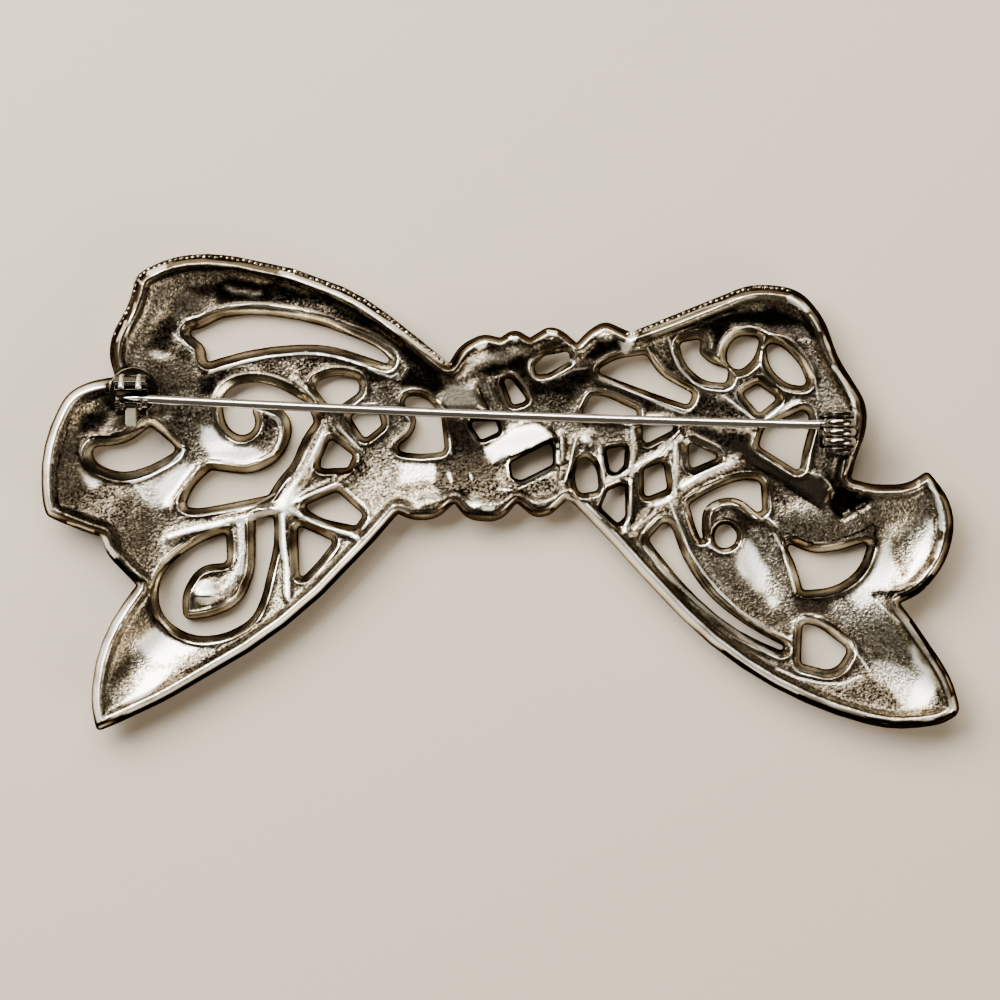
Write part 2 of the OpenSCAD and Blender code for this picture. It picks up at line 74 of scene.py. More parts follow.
# What the casting's finish reads at each point: how far it is polished bright, 0 to 1; its tone from
# -1, white as a painted highlight, by 0, the cast metal's grey, to 1, black with painted shade and tarnish;
# and the sand grain, 0 to 1
LOOKS = ("polish", "tone", "grain")
Looks = tuple[Array, Array, Array]

# Outline of the bow, counter-clockwise from the left side of the knot, in millimetres.
# Columns: x, y, and the rounding radius of a corner that isn't soft
OUTLINE: dict[str, Table] = {
    "loop_left": [
        (-4.8, 12, 0.1), (-8.6, 15.1), (-12.6, 18.2), (-17, 20.2), (-22, 21.6), (-27.5, 22.4),
        (-31.2, 21.9), (-34.2, 20.4, 2), (-34.9, 17.4), (-36.5, 14.8), (-36.8, 12.6), (-36.2, 10.7, 0.1),
    ],
    "lobe_left": [
        (-38.6, 10.3), (-40.7, 9.2), (-42.4, 6), (-43.2, 2.4), (-43, -1.2), (-42.6, -2.4, 0.8),
    ],
    "lobe_left_low": [
        (-40, -3.6), (-37.4, -4.4, 0.2), (-37, -6), (-34.2, -8.9, 0.1),
    ],
    "tail_left": [
        (-36.6, -12.2), (-38.1, -16), (-38.5, -20), (-37.9, -22.7, 0.4),
    ],
    "tail_left_low": [
        (-34, -21.1), (-27, -17.4), (-20, -12.9), (-14, -7.3), (-9.6, -2.2, 0.1),
    ],
    "knot_bottom": [
        (-8.3, -2.8), (-6, -2.8), (-4.3, -1.2, 0.1), (-3.1, -2.8), (0, -3), (1.6, -1.2, 0.1), (3.2, -2.6),
        (4.7, -2.4), (6.4, -0.8, 0.1),
    ],
    "tail_right": [
        (9.4, -3.7), (14.4, -9.3), (19.6, -14.6),
    ],
    "tail_right_low": [
        (25.6, -18.6), (31.5, -21.2), (37, -22.6), (41.6, -22), (43.3, -20.9, 1),
    ],
    "tail_right_side": [
        (42.6, -17.9), (40.2, -14), (37.6, -10.6, 0.1),
    ],
    "lobe_right": [
        (39.6, -9.7), (42, -6.8), (42.8, -3.2), (42.2, -0.6), (40.2, 1.9, 0.5), (38.3, 0.6), (35, 0.55),
        (33, 1.1, 0.2),
    ],
    "loop_right": [
        (33.4, 2.9), (34.5, 5.6), (34.5, 8.2), (33, 10.6), (31.6, 12.8), (30.6, 16.2), (28.2, 18.9),
        (25.4, 19.4), (23.2, 19.3), (18, 17.2), (12.3, 14.9, 0.1),
    ],
    "knot_top": [
        (11.2, 15.4), (9.9, 16), (8.4, 15.2), (7.2, 13.9, 0.1), (5.9, 15.1), (4.6, 15.5), (2.8, 14.4, 0.1),
        (1.4, 15.3), (0, 14.4, 0.1), (-1.6, 14.8), (-3.8, 13.7),
    ],
}

# Pierced gaps: the run of the drafted wall round each one, and the corners of its front edge.
# Columns of the corners: x, y, and the rounding radius of a corner that isn't soft
WINDOWS: dict[str, tuple[float, Table]] = {
    "loop_left_long": (0.95, [
        (-29.6, 15, 0.3), (-28.1, 15.3), (-26.6, 16.2), (-23.6, 16.7), (-19, 16.2), (-14.4, 14.8),
        (-11.2, 13.3), (-9.9, 11.7, 0.5), (-12.6, 12.7), (-16.5, 13.9), (-21.5, 13.7), (-25.4, 12.9),
        (-27.7, 12.1, 0.3), (-27.8, 13.6)]),
    "scroll_field": (0.8, [
        (-26.3, 8.6), (-25.3, 9.8), (-23.3, 10.3), (-21.2, 9.9), (-18.2, 8.2, 0.6), (-17.6, 6.5, 0.5),
        (-18.8, 4.9), (-19.6, 2.6), (-21, 1.1), (-21.9, -0.4, 0.3), (-25, -1.1), (-28.6, -1.7),
        (-29.8, -1.5, 0.4), (-28.9, 0.5), (-27.3, 1.9, 0.5), (-23.2, 1.4), (-20.4, 3.2), (-19.5, 5.8),
        (-20.2, 7.6), (-22.2, 8.3), (-23.6, 7.8, 0.6), (-22.9, 6.2), (-24.2, 5), (-25.9, 6)]),
    "lobe_left_eye": (1.0, [
        (-38.6, 4.1, 0.8), (-35.3, 4.3), (-33, 6.1, 0.5), (-30.4, 3.9, 0.5), (-33, 2.3), (-35.8, 1.6),
        (-38.2, 2.6)]),
    "tail_left_ring": (0.75, [
        (-21.4, -2.4, 0.3), (-21.3, -5), (-21.9, -7.4), (-22.5, -10.2), (-23.4, -12.1), (-26, -13.6),
        (-29.2, -13.8), (-31.9, -12), (-32.3, -9.2), (-31.2, -6.9), (-28.4, -4.9), (-25.9, -4, 0.3),
        (-25.8, -6.8, 0.5), (-28.4, -7), (-30.1, -9.6), (-29.9, -12.3, 0.8), (-27, -12), (-24.4, -10.7),
        (-23.1, -7.8), (-23.1, -2.6, 0.3)]),
    "lens_left": (0.75, [
        (-17.7, 10, 0.6), (-15.6, 11), (-13.3, 10.4, 0.8), (-13.3, 9.3, 0.8), (-15.2, 8, 0.6),
        (-16.3, 8.2, 0.6)]),
    "star_top": (0.75, [
        (-14.3, 7.2, 0.4), (-11.5, 7.4, 0.4), (-11.2, 6.2, 0.4), (-12.8, 4.9, 0.4)]),
    "star_right": (0.7, [
        (-16, 4.9, 0.3), (-13.9, 3.3, 0.3), (-14.4, 2.2, 0.3), (-17, 2.1, 0.3), (-16.9, 3, 0.3)]),
    "star_low_right": (0.7, [
        (-18.6, -1.5, 0.3), (-15.4, -0.1, 0.4), (-12.9, -2.3, 0.4), (-13.6, -3.3, 0.4), (-17, -2.6)]),
    "star_low": (0.75, [
        (-19.1, -3.3, 0.3), (-15.7, -4.8, 0.3), (-17.6, -7.2), (-18.9, -8.4, 0.3)]),
    "knot_left": (0.6, [
        (-9.6, 8.6, 0.6), (-7.4, 9.1), (-5.6, 7.2, 0.8), (-5.2, 3.7, 0.5), (-7.5, 3.4), (-10.1, 3.8, 0.4),
        (-8.2, 5.3), (-7.8, 6.8, 0.8)]),
    "knot_pleat": (0.6, [
        (0.3, 10.6, 0.3), (1.1, 10.5, 0.3), (2.6, 8.5, 0.3), (1.2, 8.1, 0.3)]),
    "knot_upper": (0.6, [
        (3.2, 11.7, 0.4), (4.2, 12.7, 0.5), (6.5, 13.1, 0.3), (6.6, 12.2, 0.3), (4.6, 11.1, 0.5),
        (3.5, 10.9, 0.4)]),
    "knot_lower": (0.3, [
        (1, 2.6, 0.3), (4.9, 4.6, 0.4), (5, 2.5, 0.5), (2, 1, 0.4), (1.2, 1.2, 0.4)]),
    "knot_side": (0.5, [
        (-2.9, 6.5, 0.3), (-0.4, 6.6, 0.3), (-0.1, 5.6, 0.3), (-1.8, 4.8, 0.3)]),
    "knot_right": (0.55, [
        (7.6, 7.1, 0.3), (8.6, 9, 0.6), (10, 8.9), (13, 7.5, 0.4), (12.8, 6.7, 0.3)]),
    "wedge": (0.65, [
        (9, 11.2, 0.3), (10.8, 12.4), (13.8, 12.8, 0.5), (15, 10.9), (18.2, 9.2, 0.4), (17.8, 8.1, 0.4),
        (14.5, 9.2), (11, 10.5)]),
    "c_gap": (0.85, [
        (16.9, 13.9, 0.4), (19, 14.3, 0.3), (18.8, 13, 0.5), (19.8, 12), (21.6, 11.5, 0.4),
        (21.4, 10.2, 0.4), (19.3, 10.3), (17.4, 12)]),
    "oval_left": (0.85, [
        (21.4, 13.4), (22.4, 14.6), (24.6, 14.5, 0.5), (24, 12.4), (22.6, 11.3), (21.5, 11.9)]),
    "oval_right": (0.85, [
        (25.1, 13.9, 0.5), (26.6, 13.7), (28.4, 11.8), (29, 9.9, 0.4), (27.2, 10), (25.4, 11.6)]),
    "small_square": (0.85, [
        (22.9, 9.2, 0.3), (24.4, 10, 0.3), (26.2, 8.7, 0.3), (24.5, 7.3, 0.3)]),
    "under_hinge": (0.7, [
        (25, 5.9, 0.6), (28.9, 7.7, 0.5), (29.3, 6.2), (28.7, 4.5), (28.2, 1.8, 0.3), (24.4, 4.2, 0.5)]),
    "lattice_1": (0.6, [
        (7.9, 3.4, 0.5), (9.1, 2.2), (9.3, 0, 0.5), (7.4, -0.3, 0.6), (6.9, 1.6)]),
    "lattice_2": (0.5, [
        (10, 3.9, 0.3), (11.8, 4.2, 0.2), (11.7, 2.4, 0.3), (11, 1.7, 0.3), (10.4, 1.9, 0.3)]),
    "lattice_3": (0.5, [
        (10.2, 0, 0.4), (11.8, 0.6, 0.3), (11.8, -2.4, 0.4), (11.1, -3.1, 0.3), (9.5, -1.6, 0.4)]),
    "lattice_4": (0.65, [
        (13.6, 2, 0.4), (15.4, 2.7, 0.3), (15.8, 0.2, 0.3), (13.6, -0.7, 0.4)]),
    "lattice_5": (0.6, [
        (13.5, 6.4, 0.3), (13.5, 4.3, 0.4), (16.6, 5.9, 0.3), (15.8, 6.5, 0.3)]),
    "lattice_6": (0.75, [
        (17.8, 4.6, 0.3), (20.7, 3.2, 0.2), (17.9, 2, 0.4)]),
    "channel": (0.8, [
        (14, -4.6, 0.4), (15.6, -2.9, 0.5), (16.3, -3.6), (17.2, -6.4), (19.4, -9.8), (23, -12.7),
        (26.8, -14.7, 0.2), (26.6, -15.1, 0.2), (22.4, -13.3), (18.6, -10.2), (15.6, -6.8)]),
    "curl_field": (0.75, [
        (17.9, -1.3, 0.4), (19.6, -0.2), (22.6, 1), (24.6, 0.9, 0.6), (24.8, -1.9, 0.3), (24.2, -2, 0.3),
        (22.6, -0.6), (20.6, -0.7), (19.2, -1.6), (19, -3.6), (19.3, -5.2, 0.2), (18.5, -3.6)]),
    "curl_eye": (0.5, [
        (20.1, -4), (21.2, -2.9), (22.5, -3.9), (22.2, -5.2), (20.6, -5.6)]),
    "crescent": (0.85, [
        (26.8, -4.8, 0.3), (29.4, -6), (31.8, -5.8), (34.8, -4.8, 0.3), (34, -7.4), (31.6, -9.2),
        (28.6, -9.4, 0.4), (27.9, -6.8)]),
    "tail_leaf": (0.9, [
        (28.6, -12.6, 0.4), (30, -12.8), (32.9, -15, 0.6), (31.6, -17.1), (28.4, -16.3, 0.3)]),
}


class Crest(Enum):
    """Cross-section of a cast line: domed over its width, or coming to an edge."""

    DOMED = "domed"
    EDGED = "edged"


@dataclass(frozen=True)
class Stroke:
    """A line raised from the cast surface, or sunk into it.

    Args:
        points: The line's way in plan, in millimetres.
        half_width: Half of its width, in millimetres.
        rise: Height over the surface, or a negative depth.
        crest: Its cross-section.
    """

    points: Way
    half_width: float
    rise: float
    crest: Crest = Crest.DOMED


@dataclass(frozen=True)
class Facet:
    """A flat or sunk field of the cast surface.

    Args:
        corners: Its corners: x, y, rounding radius.
        level: Height of its middle above the table, in millimetres.
        tilt: Slope along x and along y.
        blend: Width over which it meets what lies round it.
    """

    corners: Table
    level: float
    tilt: tuple[float, float] = (0.0, 0.0)
    blend: float = 0.3


@dataclass(frozen=True)
class Oval:
    """A soft-edged oval of the surface: a swell or a dent.

    Args:
        x: Its middle, in millimetres.
        y: Its middle, in millimetres.
        long: Half of its length.
        short: Half of its width.
        angle: Degrees from the x axis to its length.
        rise: Height of the swell in millimetres, or a negative depth.
    """

    x: float
    y: float
    long: float
    short: float
    angle: float
    rise: float

    def share(self, points: Array) -> Array:
        """How much of the oval's effect each point takes.

        Args:
            points: Points in plan.

        Returns:
            One share for each point, 0 to 1.
        """
        turn = math.radians(self.angle)
        dx, dy = points[:, 0] - self.x, points[:, 1] - self.y
        u = (dx * math.cos(turn) + dy * math.sin(turn)) / self.long
        v = (dy * math.cos(turn) - dx * math.sin(turn)) / self.short
        return np.exp(-(u * u + v * v) ** 1.5)


STROKES: list[Stroke] = [
    # Crest of the hook in the scroll field, and the bright band below it
    Stroke(((-22.8, 7.6), (-21.2, 6.9), (-20.6, 6.2), (-20.6, 5.2), (-21, 4), (-22, 3), (-24, 2.45),
        (-27, 2.6), (-28.3, 2.2), (-30, 0.1), (-31.3, -1.6)), 0.5, 0.35, Crest.EDGED),
    # Bars of the star
    Stroke(((-16.2, 6.4), (-18, 2.8), (-20.3, -1.5)), 0.8, 0.5),
    Stroke(((-20.3, -1.5), (-26, -3), (-31, -4.4)), 0.7, 0.5),
    Stroke(((-20.3, -1.5), (-17.5, -3), (-12.6, -4.7)), 0.55, 0.5),
    Stroke(((-20.3, -1.5), (-20.2, -5.5), (-19.9, -10.2)), 0.55, 0.5),
    Stroke(((-20.3, -1.5), (-17, -0.2), (-14.2, 1.4)), 0.6, 0.5),
    Stroke(((-16.2, 6.4), (-14, 3.8), (-13, 2)), 0.5, 0.5),
    Stroke(((-19.2, 10.6), (-17.9, 9.2), (-16.4, 7)), 0.5, 0.5),
    # Stem of the tail's hook
    Stroke(((-24.5, -3.2), (-24.4, -6), (-24.9, -8.2), (-26.2, -9.8), (-28, -10)), 0.9, 0.45),
    # Pleats of the knot
    Stroke(((-2.1, 10.2), (-1, 7.8)), 0.35, 0.35, Crest.EDGED),
    Stroke(((-0.9, 10.3), (-0.2, 7.9)), 0.35, 0.35, Crest.EDGED),
    Stroke(((-3.6, 6.8), (-2, 4.7)), 0.35, 0.3, Crest.EDGED),
    Stroke(((5.8, 5.2), (5.9, 3), (5.6, 0.6)), 0.35, 0.5),
    Stroke(((7.2, 4.9), (6.6, 2.6), (6, 0.4)), 0.3, 0.5),
    # Bars of the lattice
    Stroke(((12.4, 6.2), (12.5, 2), (12.2, -1.5), (11.9, -4)), 0.5, 0.4),
    Stroke(((9.3, 4.2), (9.8, 1), (12.4, 2), (15, 3.4), (17, 5.4)), 0.5, 0.4),
    Stroke(((16.7, 5.6), (16.5, 2), (16.3, -0.9), (14.4, -1.6), (12.6, -3.8)), 0.5, 0.4),
    Stroke(((16.9, 0.1), (19.4, 1.5), (22.5, 2.9)), 0.6, 0.4),
    # Curl beside the leaf
    Stroke(((19.6, -1.7), (20.8, -1.2), (22, -1.1), (23.4, -1.9), (24.6, -2.8), (26, -3.5), (27, -6),
        (27.8, -9.6)), 0.4, 0.4, Crest.EDGED),
]

FACETS: list[Facet] = [
    # Bright bar across the knot
    Facet([(-1.5, 4, 0.2), (0.5, 5.3, 0.2), (1.4, 6, 0.2), (3.4, 6.5, 0.4), (4.4, 6, 0.4), (5.3, 5, 0.2),
        (-0.4, 2.5, 0.2)], 2.2, (0.24, -0.2), 0.15),
    # Folded band that crosses the right loop, one step above the lattice
    Facet([(20.5, 5.8, 0.3), (25, 5.6, 0.3), (24.5, 4.4, 0.3), (28.4, 1.9, 0.3), (30.5, 1.1, 0.5),
        (31.1, 0, 0.6), (30.4, -1.7, 0.2), (27.9, -0.1, 0.3), (25.6, 1.3, 0.3), (21.6, 3.2, 0.3)], 2.1,
        (0.03, -0.05), 0.2),
    # Dark pocket at the crease of the right lobe
    Facet([(31.2, 0.2, 0.3), (35.3, 0.4, 0.3), (34.4, -1.4, 0.5), (32.2, -2.7, 0.2), (31, -1, 0.3)], 1.5,
        (0.0, 0.0), 0.25),
    # Smooth tongue of the knot
    Facet([(-5.9, 8, 0.3), (-5.6, 9.4, 0.5), (-4.6, 10.2, 0.5), (-2.2, 10, 0.3), (-2, 8.6, 0.3),
        (-1.4, 7.7, 0.2), (-4.5, 7.4, 0.3)], 2.35, (0.06, 0.02), 0.25),
]

# Swells and dents of the surface
SWELLS: list[Oval] = [
    # Lobes and tails, dished towards their far sides
    Oval(-38.5, -0.5, 3.6, 2.2, 70, -0.35),
    Oval(38.6, -5.4, 3.4, 2.1, 62, -0.6),
    Oval(-33.8, -15.6, 3.8, 2.1, 48, -0.5),
    Oval(37.4, -16.8, 4.2, 2, -48, -0.55),
    Oval(29.6, -2.6, 4, 1.4, -8, 0.35),
    Oval(24.2, -7, 3.4, 1.1, -62, -0.5),
    # Troughs of the loops
    Oval(-22, 18.4, 7.5, 1.3, -3, -0.5),
    Oval(-12, 15, 5, 1.1, -35, -0.5),
    Oval(25.5, 16.2, 5.5, 1.2, -8, -0.6),
    Oval(-31.2, 15, 2.4, 1.3, 75, -0.3),
    Oval(-37.8, 7.2, 2.4, 1.4, 40, -0.5),
    Oval(-24.5, 3.6, 2.6, 1, 0, 0.3),
    # Gathers along the knot's edges
    Oval(-6.4, -1.3, 1.7, 0.9, 0, 0.7),
    Oval(-1.2, -1.6, 2, 0.9, 0, 0.7),
    Oval(4, -1.4, 1.7, 0.8, 8, 0.7),
    Oval(-3, 12.6, 1.8, 0.7, 30, 0.5),
    Oval(0.8, 13.4, 1.4, 0.6, 0, 0.4),
    Oval(9.8, 14.8, 1.6, 0.9, 0, 0.7),
    Oval(12, 14, 1.1, 0.7, 30, 0.6),
    Oval(5, 14.2, 1.4, 0.6, 5, 0.5),
    # Boss between knot and lattice, and the head of the tail's hook
    Oval(8.3, 4.7, 0.7, 0.7, 0, 0.5),
    Oval(-27.8, -9.6, 1.3, 1, 0, 0.6),
]

# Tones painted on the casting's fields, from white painted highlights to black painted shade, partly
# tarnish.
# Columns: tone (-1 white, 0 mid, 1 black), soft edge in millimetres, grain 0 to 1, corners
FIELDS: list[Field] = [
    # Left loop
    (0.32, 0.4, 1.0, ((-34.2, 11.6), (-34.6, 14), (-33.8, 17), (-32, 19.6), (-28, 20.5), (-24, 20.3),
        (-20, 19.3), (-20, 18.9), (-24, 19.7), (-28, 19.5), (-30.5, 18.6), (-32.2, 16.4), (-33, 14),
        (-32.5, 12))),
    (0.85, 0.5, 0.5, ((-33.1, 13.4), (-32.4, 15.8), (-31.2, 16.6), (-30.2, 15.6), (-30.9, 14.6),
        (-29.5, 13), (-28.8, 12.1), (-30.6, 12.4), (-32, 13.1))),
    (0.65, 0.6, 0.6, ((-33.4, 12.2), (-28.6, 12.4), (-28.2, 9.2), (-31.8, 9))),
    (0.4, 0.4, 0.5, ((-30, 18.4), (-27.4, 18.4), (-27.2, 17.2), (-30, 16.6))),
    (0.85, 0.4, 0.4, ((-29.6, 19.2), (-26.6, 19.6), (-26.6, 18.7), (-29.2, 18.6))),
    (1.0, 0.4, 0.18, ((-27, 19.5), (-24, 19.9), (-20, 19.2), (-15, 17.3), (-11, 15.2), (-8, 12.9),
        (-5.4, 11.3), (-5.2, 9.6), (-6.2, 8.5), (-7.4, 9.3), (-9.4, 10.1), (-8.8, 11.6), (-9.6, 13.2),
        (-12.4, 14.8), (-16, 16.1), (-20, 16.8), (-24, 17.2), (-26.8, 16.9))),
    (0.88, 0.5, 0.8, ((-21.5, 18.9), (-17, 17.9), (-13, 16.1), (-13.4, 15.6), (-17, 17), (-21.5, 17.7))),
    (-0.3, 0.3, 1.0, ((-26, 19.05), (-22.4, 18.95), (-22.4, 18.45), (-26, 18.7))),
    (-0.5, 0.2, 0.8, ((-33, 12.9), (-32.2, 13), (-31.4, 12.4), (-32.4, 12.3))),
    (0.7, 0.3, 1.0, ((-26.5, 11), (-25.5, 11.5), (-22, 12.3), (-17, 12.6), (-15.5, 12.3), (-17.5, 11.3),
        (-19.2, 10.7), (-21, 11))),
    (0.35, 0.4, 1.0, ((-21, 12), (-19.4, 12), (-19, 11.2), (-20.6, 11))),
    (1.0, 0.3, 0.3, ((-28.6, 10.7), (-25, 11.2), (-22, 11.1), (-20, 10.6), (-18.4, 9.2), (-19.2, 8.9),
        (-22, 10.2), (-25, 10), (-26.4, 9.1), (-28.2, 9.1))),
    (0.95, 0.35, 0.4, ((-16.8, 12.5), (-14, 12.2), (-11, 10.9), (-9.3, 10.3), (-9.6, 9.9), (-12.4, 10.2),
        (-14.6, 11.3))),
    (0.5, 0.4, 0.9, ((-12.7, 9.8), (-10, 10), (-8.6, 9.2), (-9, 8.6), (-12.6, 8.7))),
    # Left lobe
    (0.5, 0.5, 0.7, ((-41.4, 5.5), (-40.2, 7.5), (-39.6, 5.2), (-39.8, 3), (-39, 1.6), (-39.4, -2.8),
        (-41.4, -1.8))),
    (0.8, 0.7, 0.7, ((-39.6, 0.4), (-37, 0.6), (-34.6, -1), (-34.8, -3.6), (-38, -3.4), (-41.4, -1.8))),
    (0.95, 0.5, 0.3, ((-39.6, 5.5), (-39.4, 7.2), (-38, 7.6), (-37, 7.2), (-36.7, 6.2), (-37.6, 5.4))),
    (0.95, 0.4, 0.3, ((-37.4, 8.6), (-36.2, 9.2), (-35.6, 7.2), (-36.6, 7.4))),
    (0.55, 0.5, 0.3, ((-36.8, 7), (-35.4, 7.4), (-34, 6.6), (-35.4, 5.8), (-37, 5.5))),
    (-0.9, 0.25, 0.4, ((-39.3, 1.9), (-38.3, 1.5), (-37.6, 0.9), (-38.5, 0.4), (-39.2, 1))),
    (-0.35, 0.5, 0.9, ((-34, 0.9), (-32, 1.9), (-30.3, 3.2), (-28.6, 2.4), (-29.6, 0.6), (-31.4, -1.5),
        (-32.8, -1.3), (-34, 0))),
    (-1.0, 0.35, 0.2, ((-32.4, 0.4), (-30.4, 2.6), (-28.8, 2.3), (-29.6, 0.8), (-31.4, -1.2))),
    (0.55, 0.6, 0.9, ((-32, 6), (-31.4, 7.6), (-27.6, 7.8), (-28.8, 6.2), (-28.8, 3.4), (-30, 4.2))),
    (-0.5, 0.4, 1.0, ((-32.3, 6.7), (-31.4, 7.2), (-31, 6.4))),
    (0.6, 0.8, 0.7, ((-36.4, -3.4), (-33, -1.6), (-32.4, -5), (-33.6, -7), (-35.6, -5.8))),
    (-0.1, 0.5, 1.0, ((-32, -4.4), (-30.8, -4), (-30.6, -5.4), (-31.6, -6.2))),
    # Scroll field
    (-1.0, 0.3, 0.35, ((-28.1, 6.2), (-27, 6), (-26.3, 5), (-25.3, 4.4), (-24, 4.3), (-22.6, 3.5),
        (-21.8, 3.2), (-23.6, 2.6), (-27, 2.7), (-27.8, 3.4), (-28.3, 4.6))),
    (0.6, 0.3, 1.0, ((-23.7, 6.6), (-22.4, 7.2), (-21.2, 6.2), (-21, 5), (-22, 3.7), (-23.4, 4.1),
        (-24, 5))),
    # Star and its bars
    (-1.0, 0.25, 0.4, ((-22.5, -1.3), (-20.6, 0), (-19, 0.6), (-18.4, 0), (-19.6, -1.6), (-19.6, -2.2),
        (-21, -2.5), (-23.5, -2.4))),
    (0.5, 0.4, 1.0, ((-13.8, 1.4), (-13.1, 4.2), (-10.4, 4.2), (-10.3, 2.9), (-5.8, 2.8), (-5.6, 0),
        (-9.2, 0), (-11.2, -1.8), (-12.4, -1.2), (-14.4, 0.7))),
    (-0.8, 0.6, 0.9, ((-9.8, 2.7), (-6, 2.6), (-6.1, 1), (-9.2, 0.8))),
    (0.5, 0.4, 0.9, ((-14.6, 0.3), (-13.2, 0.7), (-11.6, 0.2), (-11.8, -1.2), (-12.8, -1.6), (-14, -0.6))),
    # Left tail
    (0.5, 0.5, 0.6, ((-32.4, -9.6), (-35.2, -11.6), (-36.9, -15), (-37.2, -18.8), (-35.6, -19.4),
        (-35, -17), (-34.2, -14.5), (-32.6, -12.4))),
    (0.0, 0.5, 1.0, ((-34.6, -14.4), (-32.4, -12.8), (-28.4, -15), (-31, -17.2), (-34.6, -18.4))),
    (-1.0, 0.4, 0.25, ((-33.3, -13), (-31.5, -12.6), (-30.5, -13.5), (-28.6, -15), (-30.4, -15.5),
        (-31.4, -16.1), (-33.3, -15.5), (-34, -14.3))),
    (-1.0, 0.4, 0.25, ((-33.2, -17), (-31.6, -16.9), (-32, -18), (-33, -19.3), (-35.2, -20), (-34.3, -19.2),
        (-34, -18.2))),
    (0.7, 0.3, 1.0, ((-31.6, -17.7), (-30, -16.7), (-28, -15.2), (-25.4, -14.5), (-24.8, -14.7),
        (-27.5, -16.2), (-30, -17.7))),
    (-0.2, 0.3, 1.0, ((-26, -11), (-24.2, -8.8), (-23.8, -7), (-24.8, -7), (-26.2, -9.6), (-27.6, -10.8))),
    (-1.0, 0.25, 0.3, ((-28.9, -9.5), (-28.2, -8.3), (-27, -8.9), (-26.6, -9.7), (-27.5, -10.9),
        (-28.7, -10.5))),
    # Knot
    (0.0, 0.3, 0.3, ((-5.8, 8), (-5.5, 9.2), (-4.7, 10.1), (-2.2, 10), (-2, 8.6), (-1.2, 7.6),
        (-4.5, 7.4))),
    (-0.1, 0.4, 0.9, ((-4.6, 11.2), (-3.4, 12.3), (-1.5, 13), (0.6, 13.3), (3, 13.3), (2.6, 12.6),
        (0.2, 12.5), (-1.5, 11.9), (-2.6, 11), (-4, 10.7))),
    (-0.4, 0.3, 0.8, ((-2.8, 12.1), (-1.6, 12.8), (-0.2, 13), (-0.4, 12.5), (-2.2, 11.7))),
    (1.0, 0.25, 0.2, ((-1.9, 11), (-0.3, 12), (1.5, 12.4), (2.8, 12.4), (3, 10.6), (2.5, 10.3), (1.6, 11.2),
        (0.2, 11.3), (-0.6, 10.8))),
    (0.3, 0.3, 0.8, ((-2, 10.4), (-0.2, 10.4), (0.6, 8), (-0.8, 7.8))),
    (0.95, 0.4, 0.3, ((3, 10.3), (4.4, 9.9), (6.3, 10.9), (8, 11.6), (8.8, 11.2), (8.8, 10.2), (7.2, 9.8),
        (6.4, 8.4), (4, 8.1), (3, 8.8))),
    (0.7, 0.4, 1.0, ((3.4, 8.8), (6.2, 9.2), (6, 7.8), (3.6, 7.7))),
    (0.35, 0.4, 0.5, ((6.8, 9.2), (9, 9.6), (9.2, 9), (7, 7.6), (6.6, 8.2))),
    (1.0, 0.3, 0.2, ((8, 12.2), (9, 12.5), (10.7, 12.7), (11.3, 13.1), (10.8, 14), (9, 14.1), (8.2, 13.4))),
    (-1.0, 0.3, 0.5, ((10.9, 14.9), (11.2, 12.9), (13, 13.2), (13.5, 14.9), (12, 15.4))),
    (-0.3, 0.3, 1.0, ((8.6, 15), (9.8, 15.4), (11, 14.9), (10.6, 14.2), (9, 14.3))),
    (0.85, 0.4, 0.4, ((-4.9, 6.8), (-4.6, 4.6), (-5.2, 3), (-5.2, 0.2), (-1, -0.2), (0.2, 2.2), (-1.5, 3.2),
        (-1.9, 4.3), (-2.8, 4.6), (-3.6, 6.8))),
    (0.2, 0.3, 1.0, ((-2.9, 4.8), (-0.6, 6.9), (2.6, 6.9), (1, 5.9), (-0.6, 4.9), (-1.8, 4.2))),
    (-1.0, 0.12, 0.08, ((-1.5, 4), (0.5, 5.25), (1.4, 6), (3.2, 6.4), (4.4, 6), (5, 5.1), (-0.4, 2.6),
        (-1.2, 3.1))),
    (0.85, 0.3, 0.5, ((-6, 3), (-5, 3.2), (-5, -0.2), (-5.9, 0.2))),
    (0.85, 0.4, 0.9, ((-5, 0.6), (-1, 1), (1.6, 0.6), (5, 1.6), (5.8, 0), (1.6, -0.7), (-1, -0.7),
        (-5, 0))),
    (0.25, 0.4, 0.8, ((-9.6, -1.4), (-8, -2.4), (-6, -2.5), (-4.4, -1.4), (-6, -0.9), (-8, -0.8))),
    (0.25, 0.4, 0.8, ((-4.2, -1.2), (-3, -2.5), (0, -2.7), (1.6, -1.4), (0, -0.9), (-3, -0.8))),
    (0.25, 0.4, 0.8, ((1.8, -1.4), (3.2, -2.3), (4.8, -2.1), (6.2, -1), (4, -0.9), (2.4, -0.9))),
    (-1.0, 0.15, 0.1, ((-1.7, -1.5), (-0.5, -1.5), (-0.5, -1.9), (-1.7, -1.9))),
    (-0.9, 0.2, 0.2, ((-7, -0.5), (-5.8, -0.6), (-6, -1), (-6.8, -0.9))),
    (-0.9, 0.2, 0.2, ((4, -1.4), (6, -0.5), (6.2, -0.8), (4.4, -1.6))),
    (-0.8, 0.2, 0.3, ((-3.3, -0.8), (-1.9, -1.3), (-2.4, -1.4), (-3.2, -1.1))),
    # Right loop
    (-0.15, 0.2, 0.9, ((12.8, 14), (16, 15.3), (19, 16.5), (22, 17.5), (26.5, 17.6), (28, 17.8),
        (26.8, 18.6), (24.5, 18.7), (21.6, 18.1), (18, 16.9), (13.2, 15))),
    (1.0, 0.3, 0.2, ((14.6, 14.7), (16.4, 15.3), (19.5, 16.4), (22.4, 17.1), (25, 17), (27.5, 16.5),
        (28.8, 15.8), (30, 14.8), (30.5, 13.2), (29.6, 13), (27.4, 13.9), (25.2, 15), (23.4, 15.9),
